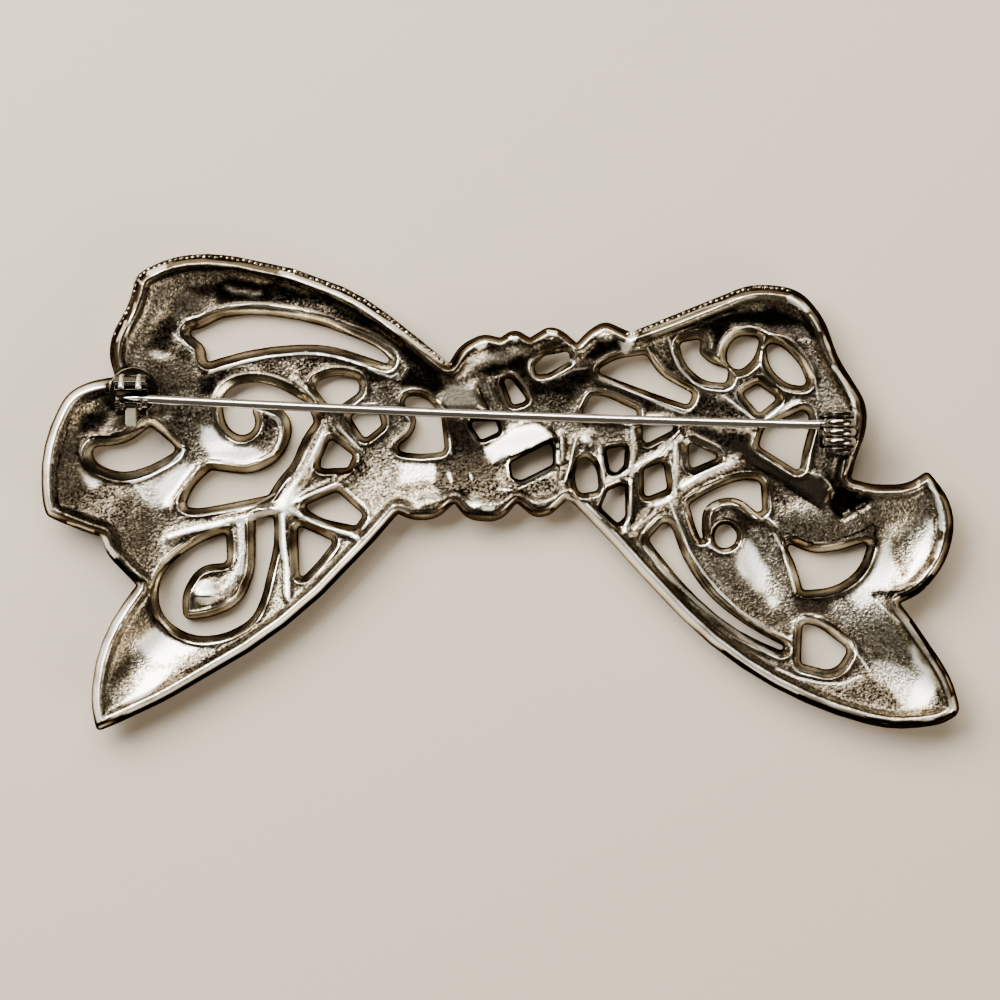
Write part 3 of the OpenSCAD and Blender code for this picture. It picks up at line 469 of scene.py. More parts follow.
        (21.8, 15.4), (20.7, 14.4), (20.1, 12.9), (19.7, 15.2), (17.6, 15.2), (15.5, 14.4))),
    (0.6, 0.4, 1.0, ((28.2, 14.4), (30, 14.2), (30.6, 12.4), (29.9, 11.8), (29.4, 12.8))),
    (0.25, 0.4, 0.8, ((29.9, 12), (30.9, 12.2), (31.3, 11.2), (32.4, 9.6), (32.9, 8.2), (30.1, 8.2),
        (29.9, 10))),
    (0.45, 0.25, 1.0, ((14.1, 14.1), (15.4, 14.4), (15.9, 13.4), (16.6, 11.8), (18, 10.4), (18.9, 9.3),
        (18, 9.1), (16.8, 10), (15.3, 11.2), (14.6, 12.6))),
    (-0.3, 0.3, 1.0, ((18.8, 9.7), (20, 9.9), (21.8, 10.9), (23, 10.5), (22.8, 9.6), (21.6, 9.3),
        (20.6, 8.9), (19, 9.2))),
    (0.95, 0.25, 0.4, ((8.8, 10), (10.6, 9.7), (13, 8.6), (15, 7.9), (17.4, 7.2), (16.6, 6.9), (13.2, 7.2),
        (12.8, 7.9), (10, 9.1), (9.2, 9.2))),
    (0.85, 0.3, 0.7, ((18.3, 9.2), (19.5, 8.9), (21, 8.6), (22.5, 7.5), (23.7, 6.8), (18, 6.9),
        (18.3, 7.8))),
    (0.95, 0.3, 0.3, ((18, 6), (25, 5.6), (24.4, 4.3), (22, 4.6), (21.5, 3.3), (19.2, 4.6))),
    (0.8, 0.15, 0.1, ((22, 4.8), (24.6, 4.3), (28.4, 1.9), (30.5, 1.1), (31.1, 0), (30.4, -1.7),
        (27.9, -0.1), (25.6, 1.3), (21.8, 3.2))),
    (0.85, 0.3, 0.4, ((29.3, 7.4), (33.4, 7.4), (33, 3.6), (32.6, 1.9), (30.6, 1.4), (28.6, 2.3))),
    (0.95, 0.2, 0.2, ((30.4, 1.4), (32.2, 2.4), (32.6, 1.2), (31.4, 0.2))),
    (1.0, 0.2, 0.2, ((31.2, 0.1), (33, 0.2), (35.2, 0.4), (35.2, -0.4), (34, -1.6), (32.3, -2.7),
        (31.1, -1.9), (30.9, -1))),
    # Right lobe
    (0.2, 0.4, 0.9, ((33.5, 0.5), (38.6, 0.5), (40.6, -0.4), (41, -1.6), (38, -2.5), (36.2, -3), (35.4, -2),
        (35.4, -0.6))),
    (-0.1, 0.5, 1.0, ((36.3, -3.2), (38, -2.7), (40, -2.1), (40.8, -2.4), (40.6, -5), (39.6, -7.3),
        (38, -8.6), (36, -9.2), (34.9, -9), (34.9, -7.6), (35.6, -5.6))),
    (-1.0, 0.35, 0.25, ((35.4, -5.2), (36.6, -5.2), (36.9, -7.5), (36.6, -9.1), (34.6, -9.6), (32.6, -9.8),
        (33.6, -8.8), (34.9, -7.6))),
    (-1.0, 0.3, 0.25, ((40.2, -2.6), (40.8, -3), (40.4, -5), (39.6, -6.8), (38, -8.5), (37.3, -7.6),
        (39, -6), (39.8, -4.2))),
    (0.35, 0.6, 1.0, ((37.2, -4.6), (39, -4.6), (39, -6.4), (37.8, -8.2), (37, -7.4))),
    (-0.6, 0.5, 0.8, ((32.6, -9.9), (34.6, -9.4), (35.1, -10.6), (34, -11.4))),
    (0.3, 0.4, 0.9, ((25.7, 0.7), (27.5, -0.4), (30.3, -2), (31.7, -2.9), (33.5, -2.2), (35.2, -1.2),
        (35, -2.8), (33.4, -4.2), (31, -4.6), (28.6, -4.3), (26.9, -3.8), (25.8, -3), (25.4, -1.5))),
    (0.7, 0.5, 1.0, ((25.6, 0.6), (27.2, -0.2), (28.2, -1.2), (26.6, -1.8), (25.6, -1.4))),
    # Leaf and curl
    (0.25, 0.3, 0.9, ((23.6, -3.4), (25.8, -4.5), (26.6, -7), (27.4, -9.8), (28.4, -10.4), (27, -12),
        (25.4, -10), (24.6, -7), (23.6, -5))),
    (0.45, 0.4, 0.7, ((19.6, -6.8), (21.5, -7.4), (23.4, -9), (25.2, -10.8), (27, -12), (27.2, -13.2),
        (25.6, -12.7), (23, -10.8), (20.8, -8.8))),
    (-1.0, 0.3, 0.4, ((22, -4.9), (23.8, -4.9), (24.8, -6.8), (25.3, -8.6), (25.2, -9.8), (24.3, -9.3),
        (22.7, -7.5), (22, -6.4))),
    (-0.9, 0.3, 0.4, ((25.3, -10.2), (26.2, -10.4), (26.3, -11.2), (25.6, -11.3))),
    (0.9, 0.3, 0.4, ((22, -2), (23.8, -2.3), (24.2, -3.4), (23.4, -4), (22.8, -3))),
    (0.8, 0.3, 0.4, ((12.4, -1), (14.8, -1.3), (14.3, -2), (13.3, -2.8), (12.6, -3.6))),
    (0.25, 0.4, 0.7, ((17.2, -1.6), (18.4, -3.8), (19.6, -6.8), (22, -10), (20.8, -9.6), (18.6, -6.6),
        (17, -3.2))),
    # Right tail
    (0.05, 0.6, 0.9, ((28.4, -10.8), (32, -10.4), (35, -11.2), (36.6, -11.8), (38.2, -13.4), (38.7, -15),
        (38.2, -16.4), (36.6, -16), (34.8, -14.4), (32.6, -12.6), (30, -11.8))),
    (0.65, 0.5, 0.5, ((27.8, -10.6), (31.4, -10.4), (30.6, -11.8), (28.4, -11.8))),
    (0.3, 0.4, 1.0, ((32.6, -13), (33.6, -13), (35, -14.8), (35.4, -16), (34.4, -15.4))),
    (-0.25, 0.4, 1.0, ((35, -15.6), (36.3, -16.2), (38.4, -16.8), (39.2, -15.6), (40.6, -17.6),
        (40.8, -19.4), (38.6, -20.6), (36.6, -18.8), (35, -17.2))),
    (-1.0, 0.3, 0.2, ((39, -14.2), (40.2, -16.6), (41, -18.8), (40.3, -20.2), (38.6, -20.4), (38.6, -18.4),
        (39.5, -17), (38.6, -15))),
    (0.7, 0.3, 1.0, ((31.4, -18.9), (33.5, -18.3), (35, -17.5), (36, -18.6), (38, -19.6), (36.5, -20.2),
        (33.5, -19.7))),
    (0.5, 0.25, 0.3, ((13.4, -5.9), (15.4, -8.3), (18, -11.2), (21, -13.6), (24, -15.4), (27, -16.9),
        (30.5, -18.2), (30.5, -18.6), (27, -17.4), (24, -16), (21, -14.2), (17.8, -11.7), (15, -8.6),
        (13.2, -6.4))),
]

# Lines of the casting: painted highlights on crests that catch the light, and painted black shadow lines.
# Columns: tone, half width in millimetres, points
LINES: list[Line] = [
    # Left loop
    (0.6, 0.35, ((-36, 11.4), (-36, 13.6), (-34.9, 15.6), (-34.3, 18), (-33, 20.1))),
    (0.25, 0.3, ((-31, 21.2), (-28, 21.5), (-24, 21.1), (-21, 20.6))),
    (-0.8, 0.13, ((-35.9, 14.1), (-35.1, 15.9))),
    (-1.0, 0.28, ((-32.9, 20.4), (-31.5, 21))),
    (-0.5, 0.08, ((-35.1, 12), (-35, 14.5), (-34.2, 17.6))),
    (-0.6, 0.12, ((-34, 19.8), (-33.6, 19.4))),
    (-0.9, 0.25, ((-20.6, 20.5), (-17, 19.2), (-14, 17.9), (-11.5, 16.3), (-9, 14.6), (-7, 13.2),
        (-5.2, 12))),
    (0.98, 0.14, ((-32, 19.9), (-29, 20.8), (-25, 20.8), (-20.6, 19.9), (-16, 18.2), (-12, 15.9),
        (-9, 13.8))),
    (-0.2, 0.08, ((-29.5, 16.2), (-27, 16.9), (-24, 17.5), (-20, 17.1), (-16, 16.1), (-12, 14.5),
        (-10.2, 13.4), (-9.3, 12.2))),
    (-0.5, 0.08, ((-30.8, 14.8), (-30, 14), (-28.9, 12.9))),
    (-1.0, 0.13, ((-27.4, 11.1), (-24.5, 12), (-22, 12.6), (-19, 12.9), (-17, 12.9), (-15, 12.5),
        (-13, 11.9), (-11.5, 11.1), (-10.3, 10.7), (-9.7, 11))),
    (-0.9, 0.1, ((-19.2, 10.3), (-17.2, 8.5))),
    # Left lobe
    (0.95, 0.13, ((-37.2, 9.1), (-39, 8.2), (-40.4, 6.4), (-41.2, 4), (-41.6, 1.6), (-41.6, -1),
        (-41, -2.2))),
    (0.95, 0.12, ((-39.7, 4.9), (-37.5, 5.1), (-36, 5.1), (-34.8, 5.5), (-33.7, 6))),
    (0.9, 0.09, ((-39.6, 4.7), (-39.8, 3.4), (-39, 2.1), (-37, 1), (-35, 0.7))),
    (-1.0, 0.12, ((-34.6, 0.7), (-33, 1.3), (-31, 2.5), (-29.9, 3.7))),
    (-0.8, 0.09, ((-33, 6.7), (-31.6, 5.6), (-30.2, 4.2), (-29.7, 3.8))),
    (0.85, 0.09, ((-33, 6.2), (-31.4, 4.9), (-30.2, 3.7))),
    (-0.6, 0.1, ((-34.4, 0.5), (-33.5, -0.8))),
    (-0.5, 0.1, ((-40.6, -3), (-38.2, -3.8))),
    (-1.0, 0.27, ((-37.2, -4.4), (-36.7, -5.4), (-36, -6.2))),
    (0.95, 0.3, ((-35.9, -6.6), (-34.8, -7.7), (-33.7, -8.5))),
    (-0.4, 0.08, ((-35, -6.9), (-33, -8.5))),
    # Scroll field
    (-1.0, 0.13, ((-23, 7.6), (-22, 7.3), (-21, 6.6), (-20.6, 5.6), (-20.8, 4.6), (-21.4, 3.5),
        (-22.5, 2.9), (-24, 2.6), (-27.4, 2.7))),
    (-0.5, 0.09, ((-28.3, 2.4), (-29.4, 0.6), (-31.2, -1.4))),
    (-0.5, 0.08, ((-30.4, -2.6), (-27, -2.1), (-23, -1.3), (-21.2, -0.3))),
    # Star and its bars
    (-1.0, 0.32, ((-21, -1.8), (-24, -2.7), (-27, -3.2), (-30, -3.9), (-31, -4.3))),
    (-1.0, 0.2, ((-20, -2), (-17.5, -2.9), (-15, -3.9), (-13.4, -4.4))),
    (-1.0, 0.32, ((-20.6, -2.4), (-20.5, -5), (-20.1, -7.5), (-20, -10))),
    (-1.0, 0.17, ((-19.8, -1.3), (-17.5, -0.2), (-15.2, 0.6))),
    (-0.9, 0.26, ((-16.4, 5.8), (-17.3, 3.6), (-18.4, 1.7), (-19.4, 0.4))),
    (0.7, 0.08, ((-17.1, 5.4), (-18, 3.5), (-19.2, 1.7), (-20.2, 0.3))),
    (-0.9, 0.15, ((-15.3, 6), (-13.3, 4))),
    (-1.0, 0.35, ((-24.4, -3), (-24.3, -5.5), (-24.5, -7.6))),
    # Left tail
    (0.2, 0.2, ((-33.2, -10.3), (-34.9, -12), (-36.1, -14.4), (-36.7, -17.2), (-36.8, -19))),
    (0.95, 0.16, ((-38.1, -22.3), (-37.6, -21.9), (-34.2, -20.8), (-30, -18.9))),
    (0.9, 0.12, ((-30.2, -6), (-31.5, -7), (-32.4, -8.3), (-32.9, -10.2), (-32.5, -12), (-31, -13.6),
        (-29, -14.6), (-26, -14.9), (-23.6, -13.4), (-22, -10.8))),
    (0.5, 0.1, ((-28.7, -9.9), (-27, -10))),
    # Knot
    (0.9, 0.1, ((-2.1, 9.8), (-1.1, 7.7))),
    (0.85, 0.08, ((-0.4, 9.6), (0.3, 7.8))),
    (-0.3, 0.1, ((-1.2, 10.2), (-0.4, 8))),
    (-0.1, 0.14, ((-0.3, 10.7), (0.5, 11.1), (1.4, 11), (2.5, 9.6), (3, 8.4))),
    (-0.5, 0.12, ((2.7, 12), (3.1, 10.7), (4, 10.2), (5.6, 10.8), (7, 11.4), (8, 11.5))),
    (-0.9, 0.2, ((6.7, 12.3), (7, 12))),
    (0.9, 0.1, ((3, 12.5), (4.4, 13.2), (6.4, 13.6))),
    (0.85, 0.1, ((-4.7, 11.3), (-3, 12.6), (-1, 13.4), (1, 13.7), (3, 13.9), (5.5, 14.2))),
    (0.8, 0.1, ((-3.2, 6.8), (-1.9, 4.8))),
    (0.8, 0.08, ((-4.9, 6.8), (-4.6, 5.2))),
    (-0.7, 0.12, ((-4.8, 4.8), (-4.6, 3.4))),
    (-1.0, 0.2, ((-4.8, 1.5), (-4.6, 1))),
    (-0.7, 0.12, ((-2.8, 1.5), (-2.7, 1.2))),
    (-0.4, 0.1, ((0.1, 0.1), (1.5, 0), (2.6, 0.6), (4, 1.2), (5, 1.7))),
    (0.5, 0.08, ((-0.4, 2.4), (5, 4.9))),
    (0.85, 0.22, ((0.3, 2.2), (0.4, 1), (1.4, 0.2))),
    (0.85, 0.2, ((5.4, 2.4), (5.3, 0.8))),
    (-0.8, 0.15, ((5.9, 4.9), (5.9, 3))),
    (-0.5, 0.1, ((7.1, 4.8), (6.6, 2.5), (6.1, 1))),
    (0.85, 0.1, ((7.6, 4.4), (7.1, 2.6), (6.6, 1))),
    (-1.0, 0.22, ((-2.1, 13.5), (-1.4, 13.8))),
    (-1.0, 0.2, ((1, 14.3), (1.5, 14.2))),
    (-1.0, 0.2, ((4.6, 14.9), (5.2, 14.8))),
    (-1.0, 0.42, ((12.5, 14.7), (12.2, 14), (11.8, 13.3))),
    (-0.9, 0.35, ((8.1, 4.7), (8.5, 4.7))),
    (0.95, 0.1, ((-8.4, -2.2), (-6.4, -2.1), (-4.6, -1.2), (-3.2, -2.1), (-0.4, -2.3), (1.4, -1.2),
        (3.4, -2), (5, -1.7))),
    (-0.7, 0.12, ((6.2, -0.6), (8, -1.3), (9.4, -2.6))),
    # Right loop
    (0.12, 0.38, ((14.5, 14.8), (17, 15.7), (20, 16.85), (22.5, 17.65), (25, 18), (27, 17.9))),
    (-0.5, 0.1, ((13.4, 14.9), (16, 15.9), (19, 17.1), (22, 18), (24, 18.2))),
    (-1.0, 0.3, ((27.2, 18), (28, 17.5), (28.7, 17))),
    (-1.0, 0.12, ((29.1, 16.5), (29.4, 16.1), (30, 15))),
    (-1.0, 0.14, ((30.4, 14.3), (30.9, 13.2))),
    (-0.3, 0.1, ((30.9, 13.2), (31.3, 11.6))),
    (-1.0, 0.2, ((31.3, 11.6), (32.3, 10.2), (33, 8.8), (33.4, 7.2), (33.3, 5.6))),
    (-0.5, 0.08, ((13.9, 13.4), (14.5, 12.2), (15.5, 11), (17, 10), (17.9, 9.5))),
    (-0.9, 0.12, ((15.9, 14.2), (16.3, 12.8), (17, 11.5), (18.2, 10.2), (19, 9.9), (21, 9.7))),
    (-1.0, 0.12, ((21, 9), (22.6, 7.8), (24, 6.6))),
    (-0.9, 0.2, ((25.2, 6.9), (26.6, 7.9), (28, 8.5))),
    (-1.0, 0.12, ((9.4, 10.7), (11, 10), (13, 9.1), (15, 8.2), (17.3, 7.3), (18, 7.6))),
    (-0.6, 0.08, ((20.5, 12.8), (21, 14), (22, 15.1), (23.5, 15.5), (24.9, 15), (26.4, 14.3), (28.2, 12.8),
        (29.6, 10.6), (29.9, 8.8))),
    (0.95, 0.1, ((24.2, 2.2), (26, 1), (28, -0.3), (30.3, -1.8))),
    (-0.5, 0.1, ((28.3, 2), (30.3, 1.3), (31, 0.6))),
    (-0.9, 0.12, ((32.9, 0.6), (34, 0.3))),
    (-0.6, 0.1, ((33.3, 4.4), (33, 3), (32.4, 1.6))),
    # Right lobe
    (0.2, 0.4, ((34, -0.3), (36, -0.4), (38.4, -0.3))),
    (-1.0, 0.12, ((39.3, 0.9), (39.2, 0.3))),
    (-1.0, 0.22, ((40.2, 0.9), (41, -0.6), (41.4, -2.2), (41.5, -3.6))),
    (-0.9, 0.15, ((41.3, -4.8), (40.9, -6.2))),
    (-0.4, 0.12, ((40.4, -7.2), (39, -8.6), (37.4, -9.2), (35.6, -9.5))),
    (1.0, 0.38, ((40.4, -8.2), (39, -9.3), (37.6, -9.7), (35.4, -9.8))),
    (0.5, 0.12, ((40.8, -2.6), (40.8, -4.6), (40.2, -6.6), (38.6, -8.4))),
    (0.95, 0.1, ((26.9, -4), (29, -4.8), (31.5, -4.8), (33.7, -4), (35, -3.2))),
    (0.95, 0.16, ((35.3, -3.3), (35.4, -5), (34.8, -7), (33.6, -8.6), (32, -9.7), (30, -10.2),
        (28.2, -10.1))),
    (-1.0, 0.1, ((35.3, -10.3), (36.4, -11.4), (37.4, -12.3))),
    # Leaf and curl
    (-1.0, 0.13, ((25.9, -4.2), (26.6, -5.5), (27.3, -7.5), (27.8, -9.6))),
    (-1.0, 0.14, ((19.5, -1.7), (20.6, -1.2))),
    (-1.0, 0.11, ((22, -0.9), (23, -1.3), (24, -2.2), (24.7, -2.7), (25.1, -2.4), (26.1, -3.4))),
    (-0.9, 0.12, ((19.6, -5.2), (20.7, -5.8), (21.7, -5.6))),
    (-0.5, 0.1, ((22.4, -4.9), (23, -5.4))),
    (-0.9, 0.11, ((16.1, -1.3), (16.9, -3.5), (17.8, -5.6), (19.2, -7.8), (20.6, -9.4), (22.5, -11.3),
        (25, -13), (27.4, -14))),
    # Lattice
    (-0.7, 0.2, ((9.4, 4), (9.7, 1.2))),
    (-0.8, 0.22, ((9.8, 0.9), (11.2, 1.3), (12.3, 1.8))),
    (-0.8, 0.25, ((12.5, 5.8), (12.6, 4), (12.4, 1.6))),
    (-0.8, 0.15, ((12.3, 1), (12.3, -0.8), (12.1, -2.6), (11.6, -3.9))),
    (-1.0, 0.28, ((12.6, 2), (14, 3), (15.6, 3.8), (17, 4.9))),
    (-0.9, 0.25, ((16.5, 4.6), (16.6, 1.8), (16.4, -0.6))),
    (-1.0, 0.33, ((17.2, 0.4), (19.3, 1.5), (21, 2.2), (22.2, 2.7))),
    (-1.0, 0.25, ((14.7, -1.3), (15.5, -1), (16.3, -0.6))),
    (-0.8, 0.1, ((12.6, -3.7), (13.5, -2.9), (14.6, -2.1))),
    # Right tail
    (0.95, 0.14, ((38.6, -12.4), (40.2, -14.9), (41.6, -17.2), (42.4, -19.2))),
    (0.75, 0.35, ((41.2, -19.2), (41.4, -20.2), (40, -20.9))),
    (0.95, 0.06, ((21, -15), (25, -17.7), (29, -19.7))),
    (0.95, 0.17, ((28, -19.2), (31, -20.4), (34, -21.3), (37, -21.8), (40.4, -21.7), (42.6, -20.8))),
    (-1.0, 0.13, ((27.7, -12.3), (28.2, -12), (29.5, -12.1), (31, -12.9), (33, -14.5), (34.4, -16.4),
        (34.8, -17))),
    (-0.9, 0.12, ((26, -16.8), (28, -17.6), (30, -18.1), (32, -18.2), (34, -17.5))),
    (-0.7, 0.2, ((13.6, -5.3), (15.5, -7.7), (18, -10), (20.5, -12.1), (23, -13.9), (26, -15.6))),
]


def ease(t: Array) -> Array:
    """Smooth rise from 0 to 1 as t goes from 0 to 1."""
    k = np.clip(t, 0.0, 1.0)
    return k * k * (3.0 - 2.0 * k)


def bell(values: Array, middle: float, width: float | Array, power: int = 2) -> Array:
    """Smooth bump that is 1 at its middle. A higher power gives it a flatter top."""
    return np.exp(-((values - middle) / width) ** power)


def lay(target: Array, where: Array | slice, value: float | Array, cover: Array) -> None:
    """Moves some of the target's values towards another value, as far as the cover says, 0 to 1."""
    target[where] += (value - target[where]) * cover


def left_of(along: Array) -> Array:
    """Unit directions in plan that point to the left of the given ones."""
    return np.stack([-along[:, 1], along[:, 0]], axis=1) / np.linalg.norm(along, axis=1)[:, None]


def lengths_along(line: Array) -> Array:
    """Length of the line from its first point to each of its points."""
    return np.concatenate([[0.0], np.cumsum(np.linalg.norm(np.diff(line, axis=0), axis=1))])


def rounded_ring(corners: Table, turn_step: float = 9.0) -> Array:
    """Closed ring through a table of corners, each rounded by an arc.

    Args:
        corners: x and y of each corner, and its rounding radius if it isn't soft.
        turn_step: Largest turn between two points of an arc, in degrees.

    Returns:
        The ring's points, one row each.
    """
    straight, half_side = 1e-4, 0.499
    count = len(corners)
    ring: list[Array] = []
    for i, (x, y, *given) in enumerate(corners):
        radius = given[0] if given else SOFT
        here = np.array([x, y], float)
        before = np.array(corners[i - 1][:2], float) - here
        after = np.array(corners[(i + 1) % count][:2], float) - here
        reach_before, reach_after = np.linalg.norm(before), np.linalg.norm(after)
        before, after = before / reach_before, after / reach_after
        turn = math.pi - math.acos(float(np.clip(before @ after, -1, 1)))
        slope = math.tan(turn / 2)
        if slope < straight:
            ring.append(here)
            continue
        reach = min(radius * slope, half_side * reach_before, half_side * reach_after)
        steps = max(1, math.ceil(math.degrees(turn) / turn_step))
        arc_radius = reach / slope
        inward = before + after
        middle = here + inward / np.linalg.norm(inward) * math.hypot(arc_radius, reach)
        start, end = here + before * reach - middle, here + after * reach - middle
        for k in range(steps + 1):
            spoke = start * (1 - k / steps) + end * (k / steps)
            ring.append(middle + spoke / np.linalg.norm(spoke) * arc_radius)
    return np.array(ring)


def evenly(line: Array, spacing: float, closed: bool = True) -> Array:
    """A line's points again, at even steps along it.

    Args:
        line: Points in plan.
        spacing: The step, in millimetres.
        closed: Whether the last point joins the first.

    Returns:
        The new points. An open line keeps both ends.
    """
    line = np.vstack([line, line[:1]]) if closed else line
    lengths = lengths_along(line)
    steps = max(8 if closed else 1, round(lengths[-1] / spacing))
    at = np.arange(steps) * lengths[-1] / steps if closed else np.linspace(0, lengths[-1], steps + 1)
    return np.stack([np.interp(at, lengths, line[:, 0]), np.interp(at, lengths, line[:, 1])], axis=1)


def outline_ring(spacing: float) -> Array:
    """The bow's whole outline as a ring of points at even steps."""
    return evenly(rounded_ring(list(chain.from_iterable(OUTLINE.values()))), spacing)


def lots(count: int, size: int = 6000) -> list[Array]:
    """The numbers from 0 to the count in lots, so that a long sum fits in memory."""
    return np.array_split(np.arange(count), max(1, count // size))


def distance_to(points: Array, line: Array, closed: bool = False) -> Array:
    """Distance from each point to a line of stretches.

    Args:
        points: The points, one row each.
        line: The line's points.
        closed: Whether the last point joins the first.

    Returns:
        One distance for each point.
    """
    a = line if closed else line[:-1]
    b = np.roll(line, -1, axis=0) if closed else line[1:]
    ab = b - a
    length2 = np.maximum((ab ** 2).sum(axis=1), 1e-12)
    best = np.full(len(points), np.inf)
    for lot in lots(len(points)):
        ap = points[lot][:, None, :] - a[None]
        t = np.clip((ap * ab[None]).sum(axis=2) / length2, 0, 1)
        best[lot] = np.sqrt(((ap - t[..., None] * ab[None]) ** 2).sum(axis=2)).min(axis=1)
    return best


def inside(points: Array, ring: Array) -> Array:
    """Whether each point lies inside a closed ring.

    Args:
        points: The points, one row each.
        ring: The ring's points.

    Returns:
        True or False for each point.
    """
    a, b = ring, np.roll(ring, -1, axis=0)
    rise = np.where(np.abs(b[:, 1] - a[:, 1]) < 1e-12, 1e-12, b[:, 1] - a[:, 1])
    found = np.zeros(len(points), bool)
    for lot in lots(len(points)):
        x, y = points[lot, 0][:, None], points[lot, 1][:, None]
        spans = (a[:, 1] > y) != (b[:, 1] > y)
        crosses = spans & (x < (b[:, 0] - a[:, 0]) * (y - a[:, 1]) / rise + a[:, 0])
        found[lot] = crosses.sum(axis=1) % 2 == 1
    return found


def depth_inside(points: Array, ring: Array) -> Array:
    """Distance from a closed ring to each point, negative outside the ring."""
    return distance_to(points, ring, True) * np.where(inside(points, ring), 1, -1)


def near_box(points: Array, line: Array, margin: float) -> Array:
    """Indices of the points within a margin of the line's bounding box."""
    low, high = line.min(axis=0) - margin, line.max(axis=0) + margin
    return np.nonzero(((points >= low) & (points <= high)).all(axis=1))[0]


def staggered(low: Array, high: Array, step: float) -> Array:
    """An even net of points between two corners, every second row shifted by half a step.

    Args:
        low: The net's low corner.
        high: Its high corner.
        step: The points' distance, in millimetres.

    Returns:
        The points, row by row.
    """
    rows = np.arange(low[1], high[1], step * math.sqrt(0.75))
    columns = np.arange(low[0], high[0], step)
    return np.array([(x + step / 2 * (j % 2), y) for j, y in enumerate(rows) for x in columns])


class SpacedPoints:
    """Points in plan that are added only where no other lies too near."""

    def __init__(self, cell: float) -> None:
        """Starts without points.

        Args:
            cell: Side of the squares that points are sorted into, in millimetres. No least distance
                may be longer.
        """
        self.cell = cell
        self.points: list[tuple[float, float]] = []
        self.cells: dict[tuple[int, int], list[int]] = {}

    def add(self, x: float, y: float, least: float = 0.0) -> int | None:
        """Adds a point unless one lies nearer than the least distance.

        Args:
            x: Its place along x, in millimetres.
            y: Its place along y.
            least: The least distance.

        Returns:
            The new point's number, or None where it isn't added.
        """
        column, row = int(x // self.cell), int(y // self.cell)
        for i in range(column - 1, column + 2):
            for j in range(row - 1, row + 2):
                for k in self.cells.get((i, j), ()):
                    u, v = self.points[k]
                    if (u - x) ** 2 + (v - y) ** 2 < least * least:
                        return None
        self.cells.setdefault((column, row), []).append(len(self.points))
        self.points.append((x, y))
        return len(self.points) - 1


def ring_sides(rings: Sequence[Array]) -> list[tuple[int, int]]:
    """The sides of all rings, as pairs of numbers of points that lie in order.

    Args:
        rings: Closed rings of points.

    Returns:
        A pair for each side.
    """
    sides: list[tuple[int, int]] = []
    first = 0
    for ring in rings:
        count = len(ring)
        sides += [(first + i, first + (i + 1) % count) for i in range(count)]
        first += count
    return sides


def triangles(points: Array, edges: list[tuple[int, int]],
              keep: Callable[[Array], Array]) -> tuple[Array, Array]:
    """Triangulates points with some edges given.

    Args:
        points: All points.
        edges: Pairs of points that a side of a triangle joins. Where two cross, a point is added.
        keep: Says for each middle of a triangle whether it is part of the shape.

    Returns:
        The points, the given ones first, and three indices for each triangle, counter-clockwise.
    """
    made = delaunay_2d_cdt([Vector(p) for p in points], edges, [], 0, 1e-6)
    place = np.array([tuple(v) for v in made[0]])
    number = np.array([given[0] if given else -1 for given in made[3]])
    added = np.nonzero(number < 0)[0]
    number[added] = len(points) + np.arange(len(added))
    points = np.vstack([points, place[added]]) if len(added) else points
    faces = number[np.array(made[2])]
    faces = faces[keep(points[faces].mean(axis=1))]
    a, b, c = points[faces[:, 0]], points[faces[:, 1]], points[faces[:, 2]]
    area = (b[:, 0] - a[:, 0]) * (c[:, 1] - a[:, 1]) - (b[:, 1] - a[:, 1]) * (c[:, 0] - a[:, 0])
    faces[area < 0] = faces[area < 0][:, ::-1]
    return points, faces[np.abs(area) > 1e-9]


def linear_colour(code: str) -> tuple[float, float, float, float]:
    """Linear RGBA of an sRGB hex colour.

    Args:
        code: The colour, such as #C8C4BA.

    Returns:
        Red, green, blue and alpha, 0 to 1.
    """
    parts = [int(code[i:i + 2], 16) / 255 for i in (1, 3, 5)]
    red, green, blue = (c / 12.92 if c <= 0.04045 else ((c + 0.055) / 1.055) ** 2.4 for c in parts)
    return red, green, blue, 1.0


def add_node(tree: Tree, kind: str, settings: dict | None = None,
             sockets: dict | None = None) -> bpy.types.Node:
    """Adds a node with its settings and links.

    Args:
        tree: The material's node tree.
        kind: The node's type.
        settings: Attribute name to value.
        sockets: Input name or number to a value, or to an output socket to link from.

    Returns:
        The node.
    """
    node = tree.nodes.new(kind)
    for name, value in (settings or {}).items():
        setattr(node, name, value)
    for name, value in (sockets or {}).items():
        if isinstance(value, bpy.types.NodeSocket):
            tree.links.new(value, node.inputs[name])
        else:
            node.inputs[name].default_value = value
    return node


def new_material(name: str) -> tuple[Finish, Tree]:
    """A material without nodes.

    Args:
        name: Its name.

    Returns:
        The material and its empty node tree.
    """
    material = bpy.data.materials.new(name)
    material.use_nodes = True
    material.node_tree.nodes.clear()
    return material, material.node_tree


def add_shader(tree: Tree, sockets: dict) -> None:
    """Ends a node tree with the Principled shader, its sockets, and the output."""
    shader = add_node(tree, "ShaderNodeBsdfPrincipled", None, sockets)
    add_node(tree, "ShaderNodeOutputMaterial", None, {"Surface": shader.outputs["BSDF"]})


